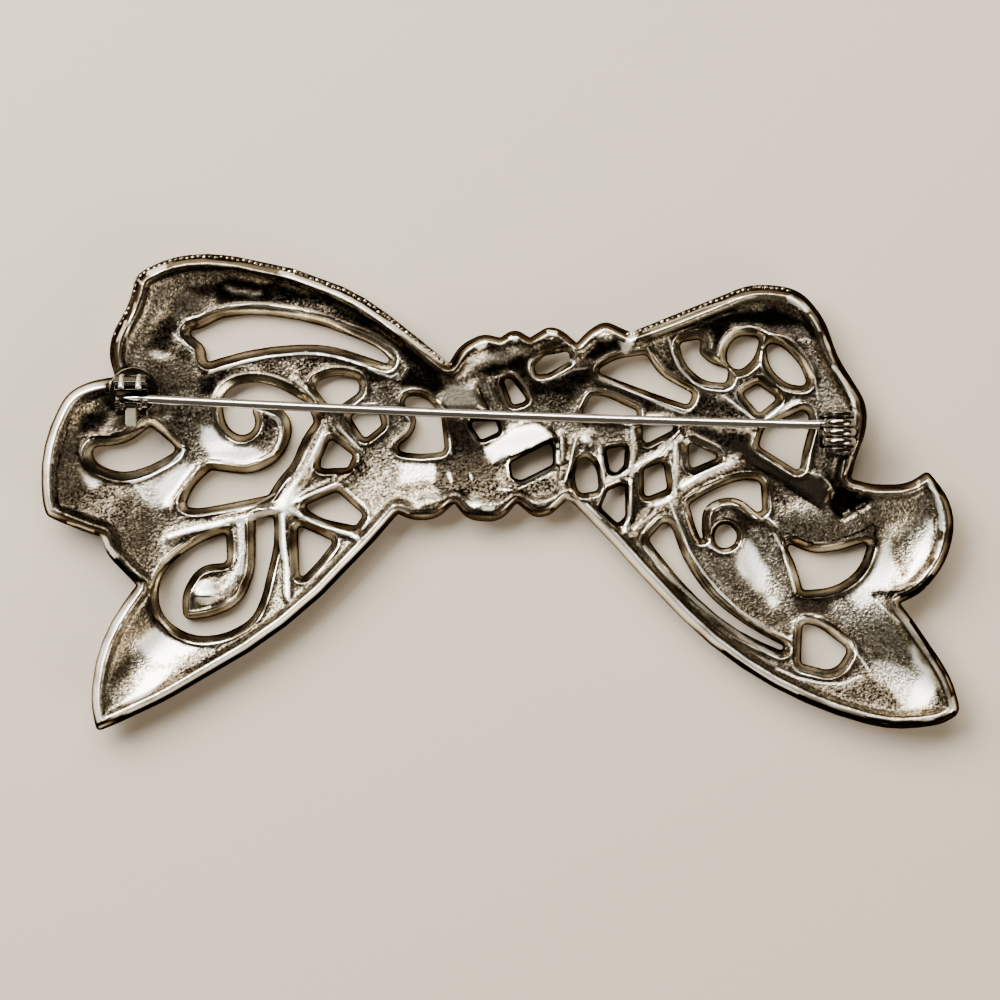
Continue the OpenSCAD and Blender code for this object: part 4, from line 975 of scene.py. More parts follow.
@dataclass(frozen=True)
class PlatedCasting:
    """Cast white metal under bright rhodium plate: polished rims, painted highlights, grainy hollows with
    painted shade and tarnish.
    """

    white: str = "#FCF9F1"
    light: str = "#DDD6C7"
    middle: str = "#9E9582"
    brown: str = "#564C3E"
    black: str = "#0B0907"
    speck_mm: float = 0.26
    speck_share: float = 2.6
    mottle_mm: float = 1.0
    mottle_share: float = 0.8
    grain_depth_mm: float = 0.09
    polished: float = 0.16
    cast: float = 0.32
    satin: float = 0.55

    def material(self) -> Finish:
        """Builds the node material.

        Returns:
            The material. It reads the polish, tone and grain that the mesh's points hold.
        """
        material, tree = new_material("rhodium_plated_casting")
        place = add_node(tree, "ShaderNodeTexCoord").outputs["Object"]
        polish, tone, grain = (
            add_node(tree, "ShaderNodeAttribute", {"attribute_name": name}).outputs["Fac"]
            for name in LOOKS)
        # Sand grain of the mould, drawn about as coarse as two pixels of the picture
        specks, mottle = (
            add_node(tree, "ShaderNodeTexNoise", None, {
                "Vector": place, "Scale": 1 / (size * MM), "Detail": 2.0, "Roughness": rough}).outputs["Fac"]
            for size, rough in ((self.speck_mm, 0.6), (self.mottle_mm, 0.5)))
        uneven: list[bpy.types.NodeSocket] = []
        for noise, share in ((specks, self.speck_share), (mottle, self.mottle_share)):
            off_middle = add_node(tree, "ShaderNodeMath", {"operation": "SUBTRACT"}, {0: noise, 1: 0.5})
            scaled = add_node(tree, "ShaderNodeMath", {"operation": "MULTIPLY"}, {
                0: off_middle.outputs[0], 1: share})
            uneven.append(scaled.outputs[0])
        both = add_node(tree, "ShaderNodeMath", {"operation": "ADD"}, {0: uneven[0], 1: uneven[1]})
        local = add_node(tree, "ShaderNodeMath", {"operation": "MULTIPLY"}, {0: both.outputs[0], 1: grain})
        shade = add_node(tree, "ShaderNodeMath", {"operation": "ADD"}, {0: tone, 1: local.outputs[0]})
        along = add_node(tree, "ShaderNodeMapRange", None, {
            "Value": shade.outputs[0], "From Min": -1.0, "From Max": 1.0})
        ramp = add_node(tree, "ShaderNodeValToRGB", None, {"Fac": along.outputs["Result"]})
        # The tone's ramp: white for painted highlights, the cast metal's grey, black for painted shade and
        # tarnish
        stops = ramp.color_ramp.elements
        stops[0].position, stops[0].color = 0.0, linear_colour(self.white)
        stops[1].position, stops[1].color = 1.0, linear_colour(self.black)
        for place_on, code in ((0.25, self.light), (0.5, self.middle), (0.75, self.brown)):
            stops.new(place_on).color = linear_colour(code)
        # White fields, painted highlights, are satin, so that they catch the light whichever way they face
        open_cast = add_node(tree, "ShaderNodeMapRange", None, {
            "Value": tone, "From Min": -1.0, "From Max": 0.0, "To Min": self.satin, "To Max": self.cast})
        roughness = add_node(tree, "ShaderNodeMix", {"data_type": "FLOAT"}, {
            "Factor": polish, "A": open_cast.outputs["Result"], "B": self.polished})
        height = add_node(tree, "ShaderNodeMath", {"operation": "MULTIPLY"}, {0: specks, 1: grain})
        bump = add_node(tree, "ShaderNodeBump", None, {
            "Height": height.outputs[0], "Distance": self.grain_depth_mm * MM, "Strength": 1.0})
        # The tint keeps painted shade and tarnish dark where the eye grazes a steep wall
        add_shader(tree, {
            "Base Color": ramp.outputs["Color"], "Specular Tint": ramp.outputs["Color"], "Metallic": 1.0,
            "Roughness": roughness.outputs["Result"], "Normal": bump.outputs["Normal"]})
        return material


@dataclass(frozen=True)
class PlainMetal:
    """A bright metal with faint draw or tool marks: steel wire, or plated brass stampings."""

    name: str
    bright: str
    dull: str
    roughness: float
    mark_mm: float
    mark_depth_mm: float
    stretch: tuple[float, float, float] = (1.0, 1.0, 1.0)
    # Heights over which the painted shade low down fades out going up, and its colour at the foot
    shade_z_mm: tuple[float, float] = (0.0, 0.0)
    foot: str = "#14110D"
    rough_span: tuple[float, float] = (0.7, 1.5)

    def material(self) -> Finish:
        """Builds the node material, with marks along the metal's own direction.

        Returns:
            The material.
        """
        material, tree = new_material(self.name)
        place = add_node(tree, "ShaderNodeTexCoord").outputs["Object"]
        along = add_node(tree, "ShaderNodeMapping", None, {"Vector": place, "Scale": self.stretch})
        marks = add_node(tree, "ShaderNodeTexNoise", None, {
            "Vector": along.outputs["Vector"], "Scale": 1 / (self.mark_mm * MM),
            "Detail": 3.0, "Roughness": 0.6}).outputs["Fac"]
        colour = add_node(tree, "ShaderNodeMix", {"data_type": "RGBA"}, {
            "Factor": marks, "A": linear_colour(self.bright), "B": linear_colour(self.dull)})
        # Painted shade darkens the metal towards the foot colour low down
        height = add_node(tree, "ShaderNodeSeparateXYZ", None, {"Vector": place}).outputs["Z"]
        low, high = self.shade_z_mm
        clear = add_node(tree, "ShaderNodeMapRange", None, {
            "Value": height, "From Min": low * MM, "From Max": high * MM + 1e-6})
        shaded_low = add_node(tree, "ShaderNodeMix", {"data_type": "RGBA"}, {
            "Factor": clear.outputs["Result"], "A": linear_colour(self.foot), "B": colour.outputs["Result"]})
        least, most = (self.roughness * share for share in self.rough_span)
        rough = add_node(tree, "ShaderNodeMapRange", None, {"Value": marks, "To Min": least, "To Max": most})
        bump = add_node(tree, "ShaderNodeBump", None, {
            "Height": marks, "Distance": self.mark_depth_mm * MM, "Strength": 1.0})
        add_shader(tree, {
            "Base Color": shaded_low.outputs["Result"], "Metallic": 1.0,
            "Roughness": rough.outputs["Result"], "Normal": bump.outputs["Normal"]})
        return material


def mesh_object(name: str, points: Array, faces: Sequence[Sequence[int]],
                material: Finish) -> Piece:
    """A smooth-shaded mesh in the scene.

    Args:
        name: The piece's name.
        points: Its points in millimetres.
        faces: Point numbers of each face.
        material: Its finish.

    Returns:
        The object.
    """
    mesh = bpy.data.meshes.new(name)
    mesh.from_pydata((np.asarray(points) * MM).tolist(), [], [list(map(int, f)) for f in faces])
    mesh.update()
    mesh.shade_smooth()
    mesh.materials.append(material)
    made = bpy.data.objects.new(name, mesh)
    bpy.context.scene.collection.objects.link(made)
    return made


def dress_points(piece: Piece, looks: Sequence[Array]) -> None:
    """Stores the looks of a piece's points, for its finish to read.

    Args:
        piece: The piece.
        looks: Its points' polish, tone and grain.
    """
    for name, values in zip(LOOKS, looks):
        marks = piece.data.attributes.new(name, "FLOAT", "POINT")
        marks.data.foreach_set("value", values.astype(np.float32))


def finish_past(piece: Piece, x_mm: float, material: Finish) -> None:
    """Gives the faces of a piece that lie past a place along x another finish.

    Args:
        piece: The piece.
        x_mm: The place, in millimetres.
        material: The finish.
    """
    piece.data.materials.append(material)
    for face in piece.data.polygons:
        if face.center.x > x_mm * MM:
            face.material_index = 1


@dataclass(frozen=True)
class Rim:
    """The raised rim along one part of the outline.

    Args:
        part: The part's name in the outline.
        crown: How far in its crown lies, in millimetres.
        top: Height of the crown above the table.
        tone: Tone of the crown: a painted highlight where white, painted shade where dark.
        flank: Tone of the outer flank: painted shade, partly oxide.
        reach: How much of the way to the crown the flank's tone takes.
        polish: How far it is polished bright.
    """

    part: str
    crown: float
    top: float
    tone: float
    flank: float
    reach: float
    polish: float


@dataclass
class BowCasting:
    """The cast bow: dished ribbons with raised rims, pierced scrolls and a gathered knot.

    All sizes are in millimetres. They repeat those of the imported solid.
    """

    # Front, floor and edge of the sheet, its dish, and the ends that curve up
    front_edge: float = 1.9
    floor_t: float = 1.35
    back_edge: float = 2.85
    edge_t: float = 0.3
    dish_run: float = 3.4
    end_lift: float = 0.45
    lift_from: float = 16.0
    lift_to: float = 43.0
    # Folds along the ribbons, and how much of their height shows on the back
    folds: tuple[Way, ...] = (
        ((-34, 9.5), (-7, 9.5)), ((10, 6), (33, 1.5)), ((-6.5, -2), (-6.5, 14)), ((8.5, -2), (8.5, 15)))
    fold_depth: float = 0.8
    fold_run: float = 1.8
    fold_back: float = 0.4
    # The blur that takes the creases out of the dish, and where it sets in and is full
    blur_step: float = 0.5
    blur_mm: float = 1.3
    blur_from: float = 0.6
    blur_over: float = 1.4
    # Rims, how their inner side falls, and how neighbours pass into each other
    rims: tuple[Rim, ...] = (
        Rim("loop_left", 0.95, 3.5, 0.65, 0.9, 0.6, 0.4),
        Rim("lobe_left", 0.7, 3.5, -1.0, 0.85, 0.25, 0.25),
        Rim("lobe_left_low", 0.7, 3.5, 0.5, 0.9, 0.45, 0.3),
        Rim("tail_left", 0.7, 3.5, -1.0, 0.75, 0.2, 0.25),
        Rim("tail_left_low", 0.7, 3.5, -0.9, 0.98, 0.6, 0.25),
        Rim("knot_bottom", 0.6, 3.1, 0.25, 0.75, 0.55, 0.5),
        Rim("tail_right", 0.75, 3.5, -1.0, 0.6, 0.2, 0.25),
        Rim("tail_right_low", 0.75, 3.5, -0.9, 0.95, 0.55, 0.25),
        Rim("tail_right_side", 0.75, 3.5, -0.6, 0.95, 0.4, 0.3),
        Rim("lobe_right", 0.7, 3.5, 0.35, 0.9, 0.4, 0.4),
        Rim("loop_right", 0.9, 3.5, 0.4, 0.9, 0.5, 0.45),
        Rim("knot_top", 0.6, 3.1, 0.25, 0.8, 0.55, 0.5))
    rim_inner: tuple[float, float] = (0.15, 0.75)
    rim_blend: float = 0.9
    # Walls of the gaps: how they join on a bar, their curve, and the lip on their crest
    far_share: float = 3.0
    wall_join: float = 7.0
    wall_curve: float = 1.7
    lip_rise: float = 0.14
    lip_run: float = 0.18
    # Flat pads under hinge and catch
    pad_z: float = 3.0
    pad_clear: float = 0.2
    # Steps of the rings and of the nets of points, the offsets of the lines that follow rims and
    # walls, and how near to its right distance and height such a line has to stay
    ring_step: float = 0.22
    net_step: float = 0.3
    bar_step: float = 0.17
    front_step: float = 0.62
    line_apart: float = 0.085
    rim_lines: tuple[float, ...] = (0.15, 0.35, 0.52, 0.7, 0.9, 1.1, 1.28, 1.5, 1.75)
    wall_lines: tuple[float, ...] = (0.3, 0.6, 0.85, 1.0, 1.15, 1.4)
    true_offset: float = 0.97
    true_share: float = 0.08
    # Shares of a step: the longest edge along a line, the longest gap in it, and the nets' clearances
    edge_steps: float = 2.2
    gap_steps: float = 1.5
    bar_clear: float = 0.72
    net_clear: float = 0.98
    bar_share: float = 1.3
    # Tone and grain where no field lies, and how far the fields' borders wander: reach, pace, start
    open_tone: float = 0.38
    open_grain: float = 0.8
    white_soft: float = 0.65
    crisp_grain: float = 0.15
    smooth_grain: float = 0.1
    wander: tuple[tuple[float, float, float], ...] = ((0.18, 1.3, 0.6), (0.1, 2.9, 2.3))
    sway: float = 1.7
    sway_pace: float = 0.4
    # Looks of the rims and of the shadow on their inner side
    rim_polish: float = 0.45
    rim_wear: float = 0.35
    flank_soft: float = 0.25
    shadow_tone: float = 0.85
    inner_at: tuple[float, float] = (0.47, 0.15)
    # Looks of the walls. Places are counted from the foot or from the crest: place, width, strength
    wall_polish: float = 0.7
    wall_tone: float = 0.05
    wall_wear: float = 0.4
    # Painted shadow line at the foot of each wall
    foot_tone: float = 0.7
    foot_at: tuple[float, float] = (0.06, 0.12)
    # Painted highlight line on each crest, and painted shadow under it and past it
    crest_tone: float = -0.15
    crest_wear: float = 0.9
    crest_width: float = 0.1
    under_crest: tuple[float, float, float] = (-0.16, 0.09, 0.6)
    past_crest: tuple[float, float, float] = (0.24, 0.12, 0.8)
    # Looks of the lines, and the plain looks of the front side
    line_soft: float = 0.12
    line_polish: float = 0.2
    front_looks: tuple[float, float, float] = (0.85, -0.3, 0.1)
    crisp_angle: float = 62.0
    outline: Array = field(init=False)
    windows: list[tuple[float, Array]] = field(init=False)

    def __post_init__(self) -> None:
        """Works out the rings of the outline and of the gaps."""
        self.outline = outline_ring(self.ring_step)
        self.windows = [(run, evenly(rounded_ring(table), self.ring_step))
                        for run, table in WINDOWS.values()]

    def rings(self) -> list[Array]:
        """The outline and the edges of all gaps."""
        return [self.outline] + [ring for _, ring in self.windows]

    def depth_in(self, points: Array) -> Array:
        """Distance from the outline to each point."""
        return distance_to(points, self.outline, closed=True)

    def end_share(self, points: Array) -> Array:
        """How far each point is lifted with the bow's ends, 0 to 1."""
        return ease((np.abs(points[:, 0]) - self.lift_from) / (self.lift_to - self.lift_from))

    def fields(self, points: Array, depth: Array) -> tuple[Array, Array]:
        """Heights of the front and of the back without rims, walls or relief.

        Args:
            points: Points in plan.
            depth: Their distances from the outline.

        Returns:
            The front's and the back's heights.
        """
        dish = 1 - bell(depth, 0.0, self.dish_run)
        fold = np.max([bell(distance_to(points, np.array(way, float)), 0.0, self.fold_run)
                       for way in self.folds], axis=0)
        lift = self.end_lift * self.end_share(points)
        crease = self.fold_depth * fold * dish
        front = self.front_edge * (1 - dish) + crease + lift
        back = self.back_edge + (self.floor_t - self.back_edge) * dish + self.fold_back * crease + lift
        return front, back

    def smooth_fields(self) -> tuple[Array, Array]:
        """The back's heights on an even net, blurred so that no dish has a crease.

        Returns:
            The net's low corner, and the back's heights as rows along x.
        """
        low = self.outline.min(axis=0) - self.blur_step
        count = np.ceil((self.outline.max(axis=0) + self.blur_step - low) / self.blur_step).astype(int) + 1
        x, y = np.meshgrid(*(low[k] + np.arange(count[k]) * self.blur_step for k in (0, 1)), indexing="ij")
        net = np.column_stack([x.ravel(), y.ravel()])
        metal = inside(net, self.outline)
        depth = np.where(metal, self.depth_in(net), 0.0)
        reach = round(3 * self.blur_mm / self.blur_step)
        spread = np.exp(-0.5 * (np.arange(-reach, reach + 1) * self.blur_step / self.blur_mm) ** 2)

        def blurred(values: Array) -> Array:
            """Blurs values along both axes.

            Args:
                values: Rows of values.

            Returns:
                The blurred rows.
            """
            for axis in (0, 1):
                values = np.apply_along_axis(lambda row: np.convolve(row, spread, "same"), axis, values)
            return values

        weight = blurred(metal.reshape(x.shape).astype(float)) + 1e-9
        back = self.fields(net, depth)[1]
        return low, blurred(np.where(metal, back, 0.0).reshape(x.shape)) / weight

    def at_net(self, points: Array, low: Array, values: Array) -> Array:
        """Values of the blurred net at any points.

        Args:
            points: Points in plan.
            low: The net's low corner.
            values: The net's values, as rows along x.

        Returns:
            One value for each point, between those of the four nodes round it.
        """
        at = np.clip((points - low) / self.blur_step, 0, np.array(values.shape) - 1.001)
        i, j = at[:, 0].astype(int), at[:, 1].astype(int)
        u, v = at[:, 0] - i, at[:, 1] - j
        return ((values[i, j] * (1 - u) + values[i + 1, j] * u) * (1 - v)
                + (values[i, j + 1] * (1 - u) + values[i + 1, j + 1] * u) * v)

    def relief(self, points: Array) -> tuple[Array, Looks]:
        """The visible back of the casting.

        Args:
            points: Points in plan.

        Returns:
            Its heights and its looks.
        """
        depth = self.depth_in(points)
        front, back = self.fields(points, depth)
        lay(back, ALL, self.at_net(points, *self.smooth_fields()),
            ease((depth - self.blur_from) / self.blur_over))
        for swell in SWELLS:
            back += swell.rise * swell.share(points)
        for facet in FACETS:
            ring = rounded_ring(facet.corners)
            near = near_box(points, ring, facet.blend)
            share = ease((depth_inside(points[near], ring) + facet.blend) / (2 * facet.blend))
            lay(back, near, facet.level + (points[near] - ring.mean(axis=0)) @ np.array(facet.tilt), share)
        raised = np.zeros(len(points))
        for stroke in STROKES:
            line = np.array(stroke.points, float)
            near = near_box(points, line, stroke.half_width)
            u = distance_to(points[near], line) / stroke.half_width
            crest = 1 - u if stroke.crest is Crest.EDGED else 1 - u * u
            raised[near] = np.maximum(raised[near], stroke.rise * crest)
        back += raised
        crown, top, *rim_look = self.rim_near(points)
        rim = top + 0.5 * self.end_lift * self.end_share(points)
        lay(back, ALL, rim, 1 - ease((depth - crown - self.rim_inner[0]) / self.rim_inner[1]))
        foot = front + self.edge_t
        back = foot + (back - foot) * np.where(depth < crown, ease(depth / crown), 1)
        share, run = self.wall_share(points)
        rise = 1 - np.clip(1 - share, 0, 1) ** self.wall_curve
        lip = self.lip_rise * bell((share - 1) * run, 0.0, self.lip_run)
        back = foot + (back + lip - foot) * rise
        back = np.where(self.on_pads(points), np.minimum(back, self.pad_z), back)
        looks = self.dressing(points, depth / crown, rim_look, share, run)
        return np.maximum(back, front + self.edge_t / 2), looks

    def wandered(self, points: Array) -> Array:
        """The points moved a little to and fro, so that the fields' borders run unevenly.

        Args:
            points: Points in plan.

        Returns:
            The moved points.
        """
        moved = points.copy()
        for reach, pace, start in self.wander:
            for k, later in ((0, start), (1, 2 * start)):
                across, along = points[:, 1 - k], points[:, k]
                bent = self.sway * np.sin(self.sway_pace * pace * along)
                moved[:, k] += reach * np.sin(pace * across + later + bent)
        return moved

    def dressing(self, points: Array, rise: Array, rim_look: Sequence[Array],
                 share: Array, run: Array) -> Looks:
        """Looks of the back, with painted highlights and painted shade in the tone.
            rise: Their way from the outline, 0, to the rim's crown, 1, and on.
            rim_look: Tones of the nearest rim's crown and flank, the flank's reach, and the polish.
            share: How far up the nearest wall they lie.
            run: The run of that wall.

        Returns:
            Polish, tone and grain at each point.
        """
        tone = np.full(len(points), self.open_tone)
        grain = np.full(len(points), self.open_grain)
        polish = np.zeros(len(points))
        moved = self.wandered(points)
        wear = (moved - points)[:, 0] / sum(reach for reach, _, _ in self.wander)
        # Painted highlights and painted shade of the fields, partly tarnish
        for value, soft, rough, corners in FIELDS:
            ring = np.array(corners, float)
            crisp = rough < self.crisp_grain
            soft += self.white_soft * max(0.0, -value) * (not crisp)
            at = points if crisp else moved
            near = near_box(at, ring, soft)
            cover = ease((depth_inside(at[near], ring) + soft / 2) / soft)
            lay(tone, near, value, cover)
            lay(grain, near, rough, cover)
        crown_tone, flank_tone, flank_reach, crown_polish = rim_look
        # Painted highlight or shade on the rims' crowns, painted shadow inside them, and painted shade on
        # their outer flanks
        on_rim = bell(rise, 0.0, 1 + self.rim_polish, 6)
        lay(tone, ALL, crown_tone + self.rim_wear * wear, on_rim)
        lay(tone, ALL, self.shadow_tone, bell(rise - 1, *self.inner_at))
        lay(tone, ALL, flank_tone, 1 - ease((rise - flank_reach) / self.flank_soft + 0.5))
        lay(polish, ALL, crown_polish, on_rim)
        on_wall = bell(np.clip(share, 0, 9), 0.0, 1 + self.lip_run / run, 10)
        lay(tone, ALL, self.wall_tone + self.wall_wear * wear, on_wall)
        lay(polish, ALL, self.wall_polish, on_wall)
        # Painted shadow line at each wall's foot, painted shadow under and past its crest, and a painted
        # highlight line on it
        up = share * run
        past = up - run
        lay(tone, ALL, self.foot_tone, bell(up, *self.foot_at))
        *under, strength = self.under_crest
        lay(tone, ALL, self.shadow_tone, strength * bell(past, *under))
        lay(tone, ALL, self.crest_tone + self.crest_wear * wear, bell(past, 0.0, self.crest_width))
        *beyond, strength = self.past_crest
        lay(tone, ALL, self.shadow_tone, strength * bell(past, *beyond))
        lay(grain, ALL, self.smooth_grain, np.maximum(on_rim, on_wall))
        # Painted highlight lines and painted shadow lines
        for value, half_width, way in LINES:
            line = np.array(way, float)
            near = near_box(points, line, half_width + self.line_soft)
            off = distance_to(points[near], line) - half_width
            cover = 1 - ease((off + self.line_soft / 2) / self.line_soft)
            lay(tone, near, value, cover)
            lay(polish, near, self.line_polish, cover)
        return polish, tone, grain

    def rim_near(self, points: Array) -> Array:
        """The rim beside each point. Neighbouring rims pass into each other.

        Args:
            points: Points in plan.

        Returns:
            Rows of the rim's values, in the order of its class.
        """
        parts = list(OUTLINE)
        distances: list[Array] = []
        for rim in self.rims:
            before = OUTLINE[parts[parts.index(rim.part) - 1]][-1]
            way = np.array([corner[:2] for corner in (before, *OUTLINE[rim.part])], float)
            distances.append(distance_to(points, way))
        away = np.array(distances)
        weight = np.exp((away.min(axis=0) - away) / self.rim_blend)
        return np.array([astuple(rim)[1:] for rim in self.rims]).T @ (weight / weight.sum(axis=0))

    def on_pads(self, points: Array) -> Array:
        """Whether each point lies on the flat pads under catch and hinge.

        Args:
            points: Points in plan.

        Returns:
            True or False for each point.
        """
        x, y = points[:, 0], points[:, 1]
        x0, y0, x1, y1 = (v + s * self.pad_clear for v, s in zip(HINGE_BASE, (-1, -1, 1, 1)))
        catch_x, catch_y, catch_r = CATCH_BASE
        on_hinge = (x > x0) & (x < x1) & (y > y0) & (y < y1)
        return on_hinge | (np.hypot(x - catch_x, y - catch_y) < catch_r + self.pad_clear)

    def wall_share(self, points: Array) -> tuple[Array, Array]:
        """How far up the walls of the gaps each point lies: 0 at a foot, 1 or more past every crest.

        Walls that meet on a narrow bar join in a soft ridge.

        Args:
            points: Points in plan.

        Returns:
            The share, and the run of the wall that is nearest.
        """
        far = self.far_share
        total = np.zeros(len(points))
        nearest = np.full(len(points), far)
        run_there = np.ones(len(points))
        for run, ring in self.windows:
            near = near_box(points, ring, run * far)
            share = distance_to(points[near], ring, True) / run
            total[near] += np.exp(-self.wall_join * share)
            closer = share < nearest[near]
            run_there[near[closer]] = run
            nearest[near] = np.minimum(nearest[near], share)
        soft = -np.log(total + math.exp(-self.wall_join * far)) / self.wall_join
        return np.where(nearest < far, np.clip(np.minimum(soft, nearest), 0, far), far), run_there

    def beside_ring(self, ring: Array, offset: float, run: float) -> list[Array]:
        """Stretches of a line that follows a ring at an offset, where it lies on the metal.

        Args:
            ring: The outline, or the edge of a gap.
            offset: How far into the metal the line lies.
            run: The run of the gap's wall, or 0 for the outline.

        Returns:
            The stretches.
        """
        normal = left_of(np.roll(ring, -1, axis=0) - np.roll(ring, 1, axis=0))
        line = ring + normal * offset
        good = distance_to(line, ring, True) > offset * self.true_offset
        good &= self.is_metal(line)
        good &= self.wall_share(line)[0] > (min(offset / run, 1.0) - self.true_share if run else 0.0)
        stretches: list[list[Array]] = [[]]
        for point, use in zip(np.vstack([line, line[:1]]), np.append(good, good[:1])):
            if use:
                stretches[-1].append(point)
            elif stretches[-1]:
                stretches.append([])
        return [np.array(stretch) for stretch in stretches if stretch]

    def following_lines(self) -> list[Array]:
        """Lines of points beside the outline, up the walls of the gaps, and along what is drawn on the back.

        Returns:
            The lines, where they lie on the metal.
        """
        beside: list[Array] = []
        for offset in self.rim_lines:
            beside += self.beside_ring(self.outline, offset, 0.0)
        for run, ring in self.windows:
            for share in self.wall_lines:
                beside += self.beside_ring(ring, run * share, run)
        lines = [evenly(np.array(stroke.points, float), self.ring_step, False) for stroke in STROKES]
        lines += [evenly(rounded_ring(facet.corners), self.ring_step) for facet in FACETS]
        for _, half_width, way in LINES:
            line = evenly(np.array(way, float), self.ring_step, False)
            normal = left_of(np.gradient(line, axis=0))
            for side in (0.0, -1.0, 1.0):
                lines.append(line + normal * side * (half_width + self.line_soft / 2))
        on_metal = (line[self.is_metal(line)] for line in lines)
        return beside + [line for line in on_metal if len(line)]

    def plan(self) -> tuple[Array, list[tuple[int, int]]]:
        """Points of the back's net and the edges it must have.

        Returns:
            The points, those of the rings first, and pairs of their numbers.
        """
        edges = ring_sides(self.rings())
        net = SpacedPoints(self.ring_step)
        for x, y in np.vstack(self.rings()).tolist():
            net.add(x, y)
        for line in self.following_lines():
            before: int | None = None
            for x, y in line.tolist():
                gap = math.inf if before is None else math.dist(net.points[before], (x, y))
                number = net.add(x, y, self.line_apart)
                if number is not None:
                    if gap < self.edge_steps * self.ring_step:
                        edges.append((before, number))
                    before = number
                elif gap > self.gap_steps * self.ring_step:
                    before = None
        low, high = self.outline.min(axis=0), self.outline.max(axis=0)
        fine = staggered(low, high, self.bar_step)
        fine = fine[self.is_metal(fine)]
        for x, y in fine[self.wall_share(fine)[0] < self.bar_share].tolist():
            net.add(x, y, self.bar_step * self.bar_clear)
        wide = staggered(low, high, self.net_step)
        for x, y in wide[self.is_metal(wide)].tolist():
            net.add(x, y, self.ring_step * self.net_clear)
        return np.array(net.points), edges

    def is_metal(self, points: Array) -> Array:
        """Whether each point in plan lies on the casting.

        Args:
            points: Points in plan.

        Returns:
            True or False for each point.
        """
        solid = inside(points, self.outline)
        for _, ring in self.windows:
            near = near_box(points, ring, 0.0)
            solid[near] &= ~inside(points[near], ring)
        return solid

    def build(self, finish: PlatedCasting) -> Piece:
        """Makes the closed mesh of the casting and dresses it.

        Args:
            finish: The casting's finish.

        Returns:
            The piece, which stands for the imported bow.
        """
        sides = ring_sides(self.rings())
        plan, back_faces = triangles(*self.plan(), self.is_metal)
        spaced = SpacedPoints(self.front_step)
        for number, (x, y) in enumerate(plan.tolist()):
            spaced.add(x, y, 0.0 if number < len(sides) else self.front_step)
        coarse, front_faces = triangles(np.array(spaced.points), sides, self.is_metal)
        heights, looks = self.relief(plan)
        front_z = self.fields(coarse, self.depth_in(coarse))[0]
        points = np.vstack([np.column_stack([plan, heights]), np.column_stack([coarse, front_z])])
        shift = len(plan)
        faces = back_faces.tolist() + (front_faces[:, ::-1] + shift).tolist()
        faces += [[a + shift, b + shift, b, a] for a, b in sides]
        made = mesh_object("cast_bow", points, faces, finish.material())
        dress_points(made, [np.concatenate([on_back, np.full(len(coarse), on_front)])
                            for on_back, on_front in zip(looks, self.front_looks)])
        made.data.set_sharp_from_angle(angle=math.radians(self.crisp_angle))
        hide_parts("bow")
        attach(made, "bow")
        return made


def sweep(path: Array, radii: Array, sides: int) -> Mesh:
    """A closed round tube along a path.

    Args:
        path: The centre line's points.
        radii: The tube's radius at each point.
        sides: Sides of its section.

    Returns:
        Points and faces.
    """
    tangent = np.gradient(path, axis=0)
    tangent /= np.linalg.norm(tangent, axis=1)[:, None]
    normal = np.cross(tangent[0], [0.0, 0.0, 1.0])
    if np.linalg.norm(normal) < 1e-6:
        normal = np.array([1.0, 0.0, 0.0])
    rings: list[Array] = []
    turn = np.arange(sides) * 2 * math.pi / sides
    for here, along, radius in zip(path, tangent, radii):
        normal = normal - along * (normal @ along)
        normal /= np.linalg.norm(normal)
        binormal = np.cross(along, normal)
        rings.append(here + radius * (np.cos(turn)[:, None] * normal + np.sin(turn)[:, None] * binormal))
    last = (len(path) - 1) * sides
    faces = [[r + k, r + (k + 1) % sides, r + sides + (k + 1) % sides, r + sides + k]
             for r in range(0, last, sides) for k in range(sides)]
    faces.append(list(range(sides))[::-1])
    faces.append([last + k for k in range(sides)])
    return np.vstack(rings), faces


def joined(pieces: Sequence[Mesh]) -> Mesh:
    """Several meshes as one.

    Args:
        pieces: Points and faces of each.

    Returns:
        Points and faces of all.
    """
    faces: list[list[int]] = []
    shift = 0
    for points, some_faces in pieces:
        faces += [[i + shift for i in face] for face in some_faces]
        shift += len(points)
    return np.vstack([points for points, _ in pieces]), faces


def slab(profile: Array, low: float, high: float, axes: tuple[int, int, int]) -> Mesh:
    """A plate with a given outline.

    Args:
        profile: The outline, counter-clockwise seen from the high side.
        low: Where the plate starts along its thickness.
        high: Where it ends.
        axes: The axes of the outline's first and second columns and of the thickness.

    Returns:
        Points and faces.
    """
    count = len(profile)
    points = np.zeros((2 * count, 3))
    for level, start in ((low, 0), (high, count)):
        points[start:start + count, axes[:2]] = profile
        points[start:start + count, axes[2]] = level
    faces = [list(range(count))[::-1], [count + i for i in range(count)]]
    faces += [[i, (i + 1) % count, count + (i + 1) % count, count + i] for i in range(count)]
    return points, faces


def cut_plate(sides: tuple[float, float, float, float], cuts: Sequence[tuple[float, float]]) -> Array:
    """Outline of a rectangle with its corners cut off.

    Args:
        sides: Its low x, low y, high x and high y.
        cuts: How much each cut takes along x and y, counter-clockwise from the low corner.

    Returns:
        The outline's points, counter-clockwise.
    """
    x0, y0, x1, y1 = sides
    corners = ((x0, y0, 1, 1), (x1, y0, -1, 1), (x1, y1, -1, -1), (x0, y1, 1, -1))
    points: list[tuple[float, float]] = []
    for number, ((x, y, right, up), (across, deep)) in enumerate(zip(corners, cuts)):
        pair = [(x, y + up * deep), (x + right * across, y)]
        points += pair if number % 2 == 0 else pair[::-1]
    return np.array(list(dict.fromkeys(points)))


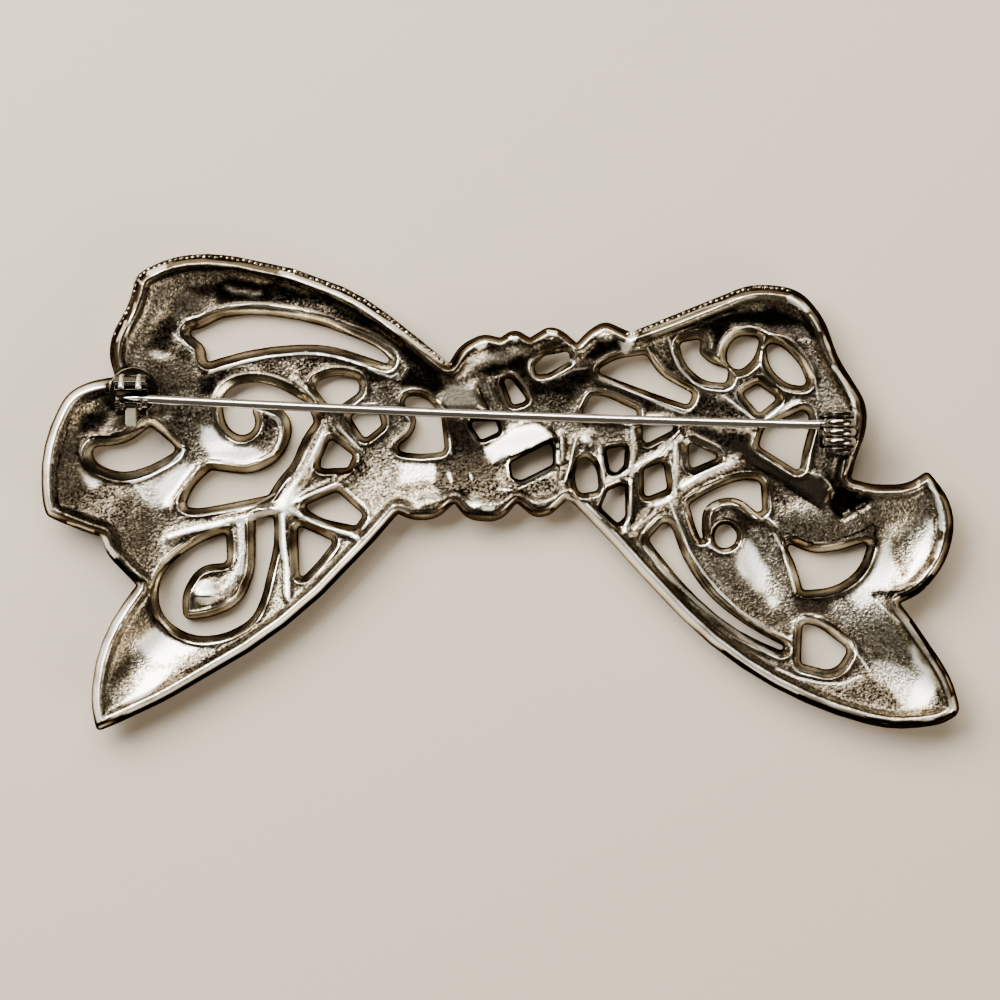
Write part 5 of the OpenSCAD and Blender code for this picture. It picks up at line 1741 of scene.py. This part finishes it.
def eased_edges(piece: Piece, width_mm: float, segments: int = 2) -> None:
    """Makes a piece's faces point outward and rounds its sharp edges.

    Args:
        piece: The piece.
        width_mm: Width of the rounding, in millimetres.
        segments: Steps of the rounding.
    """
    work = bmesh.new()
    work.from_mesh(piece.data)
    bmesh.ops.recalc_face_normals(work, faces=work.faces)
    work.to_mesh(piece.data)
    work.free()
    bevel = piece.modifiers.new("edges", "BEVEL")
    bevel.width = width_mm * MM
    bevel.segments = segments
    bevel.harden_normals = True
    bevel.limit_method = "ANGLE"
    bevel.angle_limit = math.radians(ROUNDED_FROM)
    depsgraph = bpy.context.evaluated_depsgraph_get()
    mesh = bpy.data.meshes.new_from_object(piece.evaluated_get(depsgraph))
    piece.modifiers.clear()
    piece.data = mesh


def arc(radius: float, start: float, end: float, steps: int) -> Array:
    """Points of an arc about the origin, from one angle to another in degrees."""
    turn = np.radians(np.linspace(start, end, steps + 1))
    return radius * np.stack([np.cos(turn), np.sin(turn)], axis=1)


@dataclass
class Milgrain:
    """The row of uneven beads cast along the outer edge of the two upper loops."""

    bead_d: float = 0.58
    pitch: float = 0.55
    inset: float = 0.32
    z: float = 2.55
    uneven: float = 0.28
    spans: tuple[tuple[str, float, float], ...] = (("loop_left", 0.0, 0.93), ("loop_right", 0.55, 1.0))
    # What makes places and sizes uneven: two paces, in radians from bead to bead, and a start
    place_waves: tuple[float, float, float] = (2.4, 5.3, 1)
    size_waves: tuple[float, float, float] = (3.9, 1.7, 2)
    looks: tuple[float, float, float] = (0.8, 0.3, 1.0)

    def bead(self) -> Mesh:
        """Makes a bead of the whole size about the origin.

        Returns:
            Its points and faces.
        """
        ball = bmesh.new()
        bmesh.ops.create_icosphere(ball, subdivisions=2, radius=self.bead_d / 2)
        points = np.array([v.co for v in ball.verts])
        faces = [[v.index for v in f.verts] for f in ball.faces]
        ball.free()
        return points, faces

    def build(self, finish: PlatedCasting) -> Piece:
        """Makes all beads as one joined mesh.

        Args:
            finish: The casting's finish.

        Returns:
            The piece.
        """
        bead, faces = self.bead()
        beads: list[Mesh] = []
        ring = outline_ring(self.pitch)
        for name, start, end in self.spans:
            first, last = (int(np.argmin(np.linalg.norm(ring - OUTLINE[name][k][:2], axis=1)))
                           for k in (0, -1))
            count = (last - first) % len(ring)
            for i in range(int(count * start), int(count * end) + 1):
                before, here, after = (ring[(first + k) % len(ring)] for k in (i - 1, i, i + 1))
                inward = left_of((after - before)[None])[0]
                sway, swell = (math.sin(one * i) * math.sin(other * i + late)
                               for one, other, late in (self.place_waves, self.size_waves))
                x, y = here + inward * self.inset * (1 + self.uneven * sway)
                size = 1 - self.uneven * (0.5 + 0.5 * swell)
                beads.append((bead * size + np.array([x, y, self.z]), faces))
        made = mesh_object("milgrain_edge", *joined(beads), finish.material())
        dress_points(made, [np.full(len(made.data.vertices), look) for look in self.looks])
        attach(made, "bow")
        return made


@dataclass
class PinStem:
    """The steel wire: coil round the rivet, long stem and sharpened point."""

    hinge_x: float = 31.6
    tip: tuple[float, float] = (-35.2, 8.66)
    stem_y: float = 6.08
    stem_z: float = 5.2
    bow_mm: float = -0.28
    # Stations along the stem: from, to and how many, as shares of its length
    stations: tuple[tuple[float, float, int], ...] = ((0, 0.06, 14), (0.07, 0.96, 60), (0.965, 0.995, 8))
    turn_in: tuple[float, float] = (0.965, 0.035)
    coil_r: float = 1.125
    coil_from: float = 29.9
    passes: tuple[float, ...] = (6.32, 5.42, 4.54)
    # The coil's last turn stops short, and each turn steps over to the next near its end
    short_deg: float = 70
    step_deg: float = 8
    step_over: tuple[float, float] = (0.72, 0.28)
    # The point's taper: lengths from the tip, and the radii there
    taper_at: tuple[float, ...] = (0, 0.25, 1.0, 4.5, 60, 64)
    taper_r: tuple[float, ...] = (0.07, 0.2, 0.36)
    stem_r: float = 0.425
    wire_r: float = 0.44
    sides: int = 20
    crisp_angle: float = 50.0

    def path(self) -> tuple[Array, Array]:
        """The wire's centre line and radii, from the tip to the end of the coil.

        Returns:
            The line's points, and the radius at each.
        """
        t = np.concatenate([np.linspace(*station) for station in self.stations])
        x = self.tip[0] + (self.hinge_x - self.tip[0]) * t
        y = self.tip[1] + (self.stem_y - self.tip[1]) * t + self.bow_mm * 4 * t * (1 - t)
        y += (self.passes[0] - self.stem_y) * ease((t - self.turn_in[0]) / self.turn_in[1])
        stem = np.stack([x, y, np.full(len(t), self.stem_z)], axis=1)
        turn = np.radians(np.arange(0, 360 * len(self.passes) - self.short_deg, self.step_deg))
        k = np.floor(turn / (2 * math.pi)).astype(int)
        part = turn / (2 * math.pi) - k
        following = np.minimum(k + 1, len(self.passes) - 1)
        levels = np.array(self.passes)
        over = ease((part - self.step_over[0]) / self.step_over[1])
        coil = np.stack([self.hinge_x + self.coil_r * np.sin(turn),
                         levels[k] + (levels[following] - levels[k]) * over,
                         self.stem_z + self.coil_r - self.coil_r * np.cos(turn)], axis=1)
        path = np.vstack([stem, coil])
        radii = (*self.taper_r, self.stem_r, self.stem_r, self.wire_r)
        return path, np.interp(lengths_along(path), self.taper_at, radii)

    def build(self, finish: PlainMetal, coil_finish: PlainMetal) -> Piece:
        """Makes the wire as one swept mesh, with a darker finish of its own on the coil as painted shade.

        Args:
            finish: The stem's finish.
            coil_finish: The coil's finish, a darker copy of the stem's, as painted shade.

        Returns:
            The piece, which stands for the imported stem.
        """
        made = mesh_object("pin_wire", *sweep(*self.path(), self.sides), finish.material())
        finish_past(made, self.coil_from, coil_finish.material())
        made.data.set_sharp_from_angle(angle=math.radians(self.crisp_angle))
        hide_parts("pin_stem")
        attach(made, "pin")
        return made


@dataclass
class Hinge:
    """Bracket with two ears, and the rivet through them and the coil."""

    x: float = 31.6
    z: float = 6.325
    base_cuts: tuple[tuple[float, float], ...] = ((1.2, 0.8), (0.6, 0.6), (0.5, 0.3), (0.5, 0.5))
    ear_t: float = 0.45
    ear_w: float = 2.9
    ear_y: tuple[float, float] = (3.52, 6.87)
    ear_sunk: float = 0.1
    foot_share: float = 1.05
    edge_soft: float = 0.09
    rivet_r: float = 0.615
    head_d: float = 2.0
    head_t: float = 0.25
    # The rivet head's dome from its top down: shares of its thickness and of its radius
    dome: tuple[tuple[float, float], ...] = ((1.0, 0.45), (0.6, 0.85), (0.0, 1.0))
    shoulder: float = 0.01
    sides: int = 28
    crisp_angle: float = 38.0

    def bracket(self) -> Mesh:
        """The base plate and its two ears.

        Returns:
            Points and faces.
        """
        half, foot = self.ear_w / 2, BASE_Z + self.ear_sunk - self.z
        feet = [(-half * self.foot_share, foot), (half * self.foot_share, foot)]
        ear = np.vstack([feet, arc(half, 0, 180, 18)]) + np.array([self.x, self.z])
        plate = slab(cut_plate(HINGE_BASE, self.base_cuts), BASE_Z, BASE_Z + BASE_T, (0, 1, 2))
        return joined([plate, *(slab(ear, y, y + self.ear_t, (0, 2, 1)) for y in self.ear_y)])

    def rivet(self) -> Mesh:
        """The cross pin with a domed head at each end.

        Returns:
            Points and faces.
        """
        low, high = self.ear_y[0], self.ear_y[1] + self.ear_t
        head = self.head_d / 2
        spine = [*(low - self.head_t * out for out, _ in self.dome), low + self.shoulder,
                 high - self.shoulder, *(high + self.head_t * out for out, _ in self.dome[::-1])]
        widths = [head * share for _, share in self.dome]
        path = np.array([(self.x, y, self.z) for y in spine])
        return sweep(path, np.array([*widths, self.rivet_r, self.rivet_r, *widths[::-1]]), self.sides)

    def build(self, finish: PlainMetal) -> list[Piece]:
        """Makes bracket and rivet.

        Args:
            finish: The finish of both.

        Returns:
            The two pieces.
        """
        bracket = mesh_object("hinge_ears", *self.bracket(), finish.material())
        eased_edges(bracket, self.edge_soft)
        rivet = mesh_object("hinge_rivet_pin", *self.rivet(), finish.material())
        rivet.data.set_sharp_from_angle(angle=math.radians(self.crisp_angle))
        for made, node in ((bracket, "hinge_bracket"), (rivet, "hinge_rivet")):
            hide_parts(node)
            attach(made, "bow")
        return [bracket, rivet]


@dataclass
class SafetyCatch:
    """Round base with an open hoop, and the slotted roller with its thumb lever."""

    x: float = -34.45
    y: float = 8.8
    z: float = 5.2
    length: float = 3.0
    hoop_r: float = 1.4
    hoop_t: float = 0.6
    hoop_sunk: float = 0.1
    mouth: tuple[float, float] = (-22.0, 130.0)
    roller_r: float = 1.35
    slot_w: float = 1.36
    sleeve_in: float = 0.2
    rim_x: tuple[float, float] = (-35.25, -33.65)
    rim_r: float = 0.28
    lever_reach: float = 2.9
    lever_w: float = 1.05
    lever_t: float = 0.7
    lever_root: float = 0.8
    lever_cut: tuple[float, float] = (0.2, 0.25)
    cheek: tuple[float, float] = (114.0, 200.0)
    cheek_out: float = 0.08
    edge_soft: float = 0.12
    edge_steps: int = 4

    def around(self, radius: float, start: float, end: float, steps: int) -> Array:
        """Arc about the roller's axis as y, z. Angle 0 is the lever's side, and 90 the top."""
        points = arc(radius, start, end, steps)
        return np.stack([self.y - points[:, 0], self.z + points[:, 1]], axis=1)

    def beads(self, line: Array) -> list[Mesh]:
        """Round rims along a line of y, z at both ends of the catch."""
        radii = np.full(len(line), self.rim_r)
        return [sweep(np.column_stack([np.full(len(line), x), line]), radii, 14) for x in self.rim_x]

    def across(self, profile: Array) -> Mesh:
        """A part with a profile of y, z that runs through the catch's whole length."""
        return slab(profile, self.x - self.length / 2, self.x + self.length / 2, (1, 2, 0))

    def body(self) -> Mesh:
        """The round base and the open hoop on it.

        Returns:
            Points and faces.
        """
        cx, cy, radius = CATCH_BASE
        disc = arc(radius, 0, 352.5, 47) + np.array([cx, cy])
        start, end = self.mouth[1], 360 + self.mouth[0]
        hoop = np.vstack([self.around(self.hoop_r + self.hoop_t, start, end, 40),
                          self.around(self.hoop_r, end, start, 40)])
        hoop[:, 1] = np.maximum(hoop[:, 1], BASE_Z + self.hoop_sunk)
        return joined([slab(disc, BASE_Z, BASE_Z + BASE_T, (0, 1, 2)), self.across(hoop)])

    def sleeve(self) -> Mesh:
        """The slotted roller with its two rims.

        Returns:
            Points and faces.
        """
        slot = self.slot_w / 2
        outer = math.degrees(math.asin(slot / self.roller_r))
        start, end = 90 + outer, 450 - outer
        ring = np.vstack([self.around(self.roller_r - self.sleeve_in, start, end, 44),
                          self.around(slot, 360, 180, 20)])
        rims = self.beads(self.around(self.roller_r - self.rim_r, start, end, 40))
        return joined([*rims, self.across(ring)])

    def lever(self) -> Mesh:
        """The flat thumb lever with its two blunted corners.

        Returns:
            Points and faces.
        """
        half, thick = self.lever_w / 2, self.lever_t / 2
        plate = cut_plate((-half, -self.lever_reach, half, -self.roller_r * self.lever_root),
                          (self.lever_cut, self.lever_cut, (0, 0), (0, 0)))
        return slab(plate + np.array([self.x, self.y]), self.z - thick, self.z + thick, (0, 1, 2))

    def build(self, finish: PlainMetal, lit_stamping: PlainMetal, bright: PlainMetal) -> list[Piece]:
        """Makes the catch's body and its cheeks, near white as painted highlights, its roller, and the thumb
        lever, lighter as painted light.

        Args:
            finish: Finish of body and roller.
            lit_stamping: Finish of the lever.
            bright: Finish of the cheeks, near white as a painted highlight.

        Returns:
            The four pieces.
        """
        body = mesh_object("catch_hoop", *self.body(), finish.material())
        sleeve = mesh_object("catch_sleeve", *self.sleeve(), finish.material())
        lever = mesh_object("catch_lever", *self.lever(), lit_stamping.material())
        for made in (body, sleeve, lever):
            eased_edges(made, self.edge_soft, self.edge_steps)
        line = self.around(self.hoop_r + self.hoop_t - self.rim_r + self.cheek_out, *self.cheek, 24)
        cheeks = mesh_object("catch_cheeks", *joined(self.beads(line)), bright.material())
        for made, node, rides in ((body, "catch_body", "bow"), (sleeve, "catch_roller", "roller"),
                                  (lever, "catch_roller", "roller"), (cheeks, "catch_body", "bow")):
            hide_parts(node)
            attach(made, rides)
        return [body, sleeve, lever, cheeks]


@dataclass(frozen=True)
class SoftLight:
    """A soft rectangular light that faces the brooch. Sizes and places are in millimetres."""

    name: str
    place: tuple[float, float, float]
    width: float
    height: float
    watts: float
    colour: str

    def build(self) -> None:
        """Adds the light."""
        lamp = bpy.data.lights.new(self.name, "AREA")
        lamp.shape = "RECTANGLE"
        lamp.size, lamp.size_y = self.width * MM, self.height * MM
        lamp.energy = self.watts
        lamp.color = linear_colour(self.colour)[:3]
        holder = bpy.data.objects.new(self.name, lamp)
        holder.location = Vector(self.place) * MM
        holder.rotation_mode = "QUATERNION"
        holder.rotation_quaternion = (Vector() - holder.location).to_track_quat("-Z", "Y")
        bpy.context.scene.collection.objects.link(holder)


@dataclass
class Studio:
    """Pale floor, soft lights and the camera straight above the brooch."""

    floor_mm: float = 900.0
    floor: str = "#A09585"
    floor_roughness: float = 0.9
    lights: tuple[SoftLight, ...] = (
        SoftLight("soft_box", (-260, 225, 300), 340, 260, 8.9, "#FFFFFF"),
        SoftLight("far_fill", (330, -260, 210), 260, 180, 2.6, "#FFF4E4"),
        SoftLight("stem_strip", (0, 330, 330), 360, 200, 3.7, "#FFFAF2"))
    room: str = "#857A68"
    room_strength: float = 0.4
    camera_mm: float = 400.0
    view_mm: float = 94.0
    plane_z_mm: float = 2.6
    middle: tuple[float, float] = (0.0, -0.893)

    def build(self) -> None:
        """Makes floor, lights, surroundings and camera."""
        half = self.floor_mm / 2
        corners = np.array([(-half, -half, 0), (half, -half, 0), (half, half, 0), (-half, half, 0)])
        material, tree = new_material("pale_paper_floor")
        add_shader(tree, {"Base Color": linear_colour(self.floor), "Roughness": self.floor_roughness})
        floor = mesh_object("floor", corners, [[0, 1, 2, 3]], material)
        for light in self.lights:
            light.build()
        world = bpy.data.worlds.new("room")
        bpy.context.scene.world = world
        world.use_nodes = True
        background = world.node_tree.nodes["Background"]
        background.inputs["Color"].default_value = linear_colour(self.room)
        background.inputs["Strength"].default_value = self.room_strength
        self.camera()

    def camera(self) -> None:
        """Adds the camera. Its view is the given width at the height of the brooch's middle plane."""
        camera = bpy.data.cameras.new("camera")
        camera.lens = camera.sensor_width / 2 / (self.view_mm / 2 / (self.camera_mm - self.plane_z_mm))
        camera.clip_start, camera.clip_end = 0.01, 10.0
        holder = bpy.data.objects.new("camera", camera)
        holder.location = (self.middle[0] * MM, self.middle[1] * MM, self.camera_mm * MM)
        bpy.context.scene.collection.objects.link(holder)
        bpy.context.scene.camera = holder
        log.info("camera lens %.1f mm", camera.lens)


def main() -> None:
    """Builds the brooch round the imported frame, piece by piece."""
    logging.basicConfig(level=logging.INFO, format="%(name)s %(message)s")
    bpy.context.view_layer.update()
    casting = PlatedCasting()
    wire = PlainMetal("drawn_steel_wire", "#FAF8F4", "#DEDBD5", 0.14, 0.5, 0.002,
                      stretch=(0.05, 1.0, 1.0), shade_z_mm=(5.28, 5.56))
    # The coil's wire is a darker copy of the stem's wire: painted shade
    coil_wire = PlainMetal("shaded_coil_wire", "#A39C90", "#4E463B", 0.14, 0.5, 0.002)
    # The stampings are dark as painted shade, darker still low down
    stamping = PlainMetal("plated_brass_stamping", "#6E675C", "#2C2721", 0.16, 0.6, 0.006,
                          shade_z_mm=(3.5, 5.0), foot="#3A3329")
    # The lever's stamping is a lighter copy, as painted light
    lit_stamping = PlainMetal("lit_brass_stamping", "#AAA18B", "#5E5646", 0.38, 0.5, 0.004)
    # The cheeks' plate is near white, as a painted highlight
    bright = PlainMetal("highlight_nickel_plate", "#FBF9F4", "#D8D3C8", 0.3, 0.5, 0.002)
    made = [BowCasting().build(casting), Milgrain().build(casting), *Hinge().build(stamping),
            PinStem().build(wire, coil_wire), *SafetyCatch().build(stamping, lit_stamping, bright)]
    for piece in made:
        log.info("%s: %d faces", piece.name, len(piece.data.polygons))
    Studio().build()


if __name__ == "__main__":
    main()
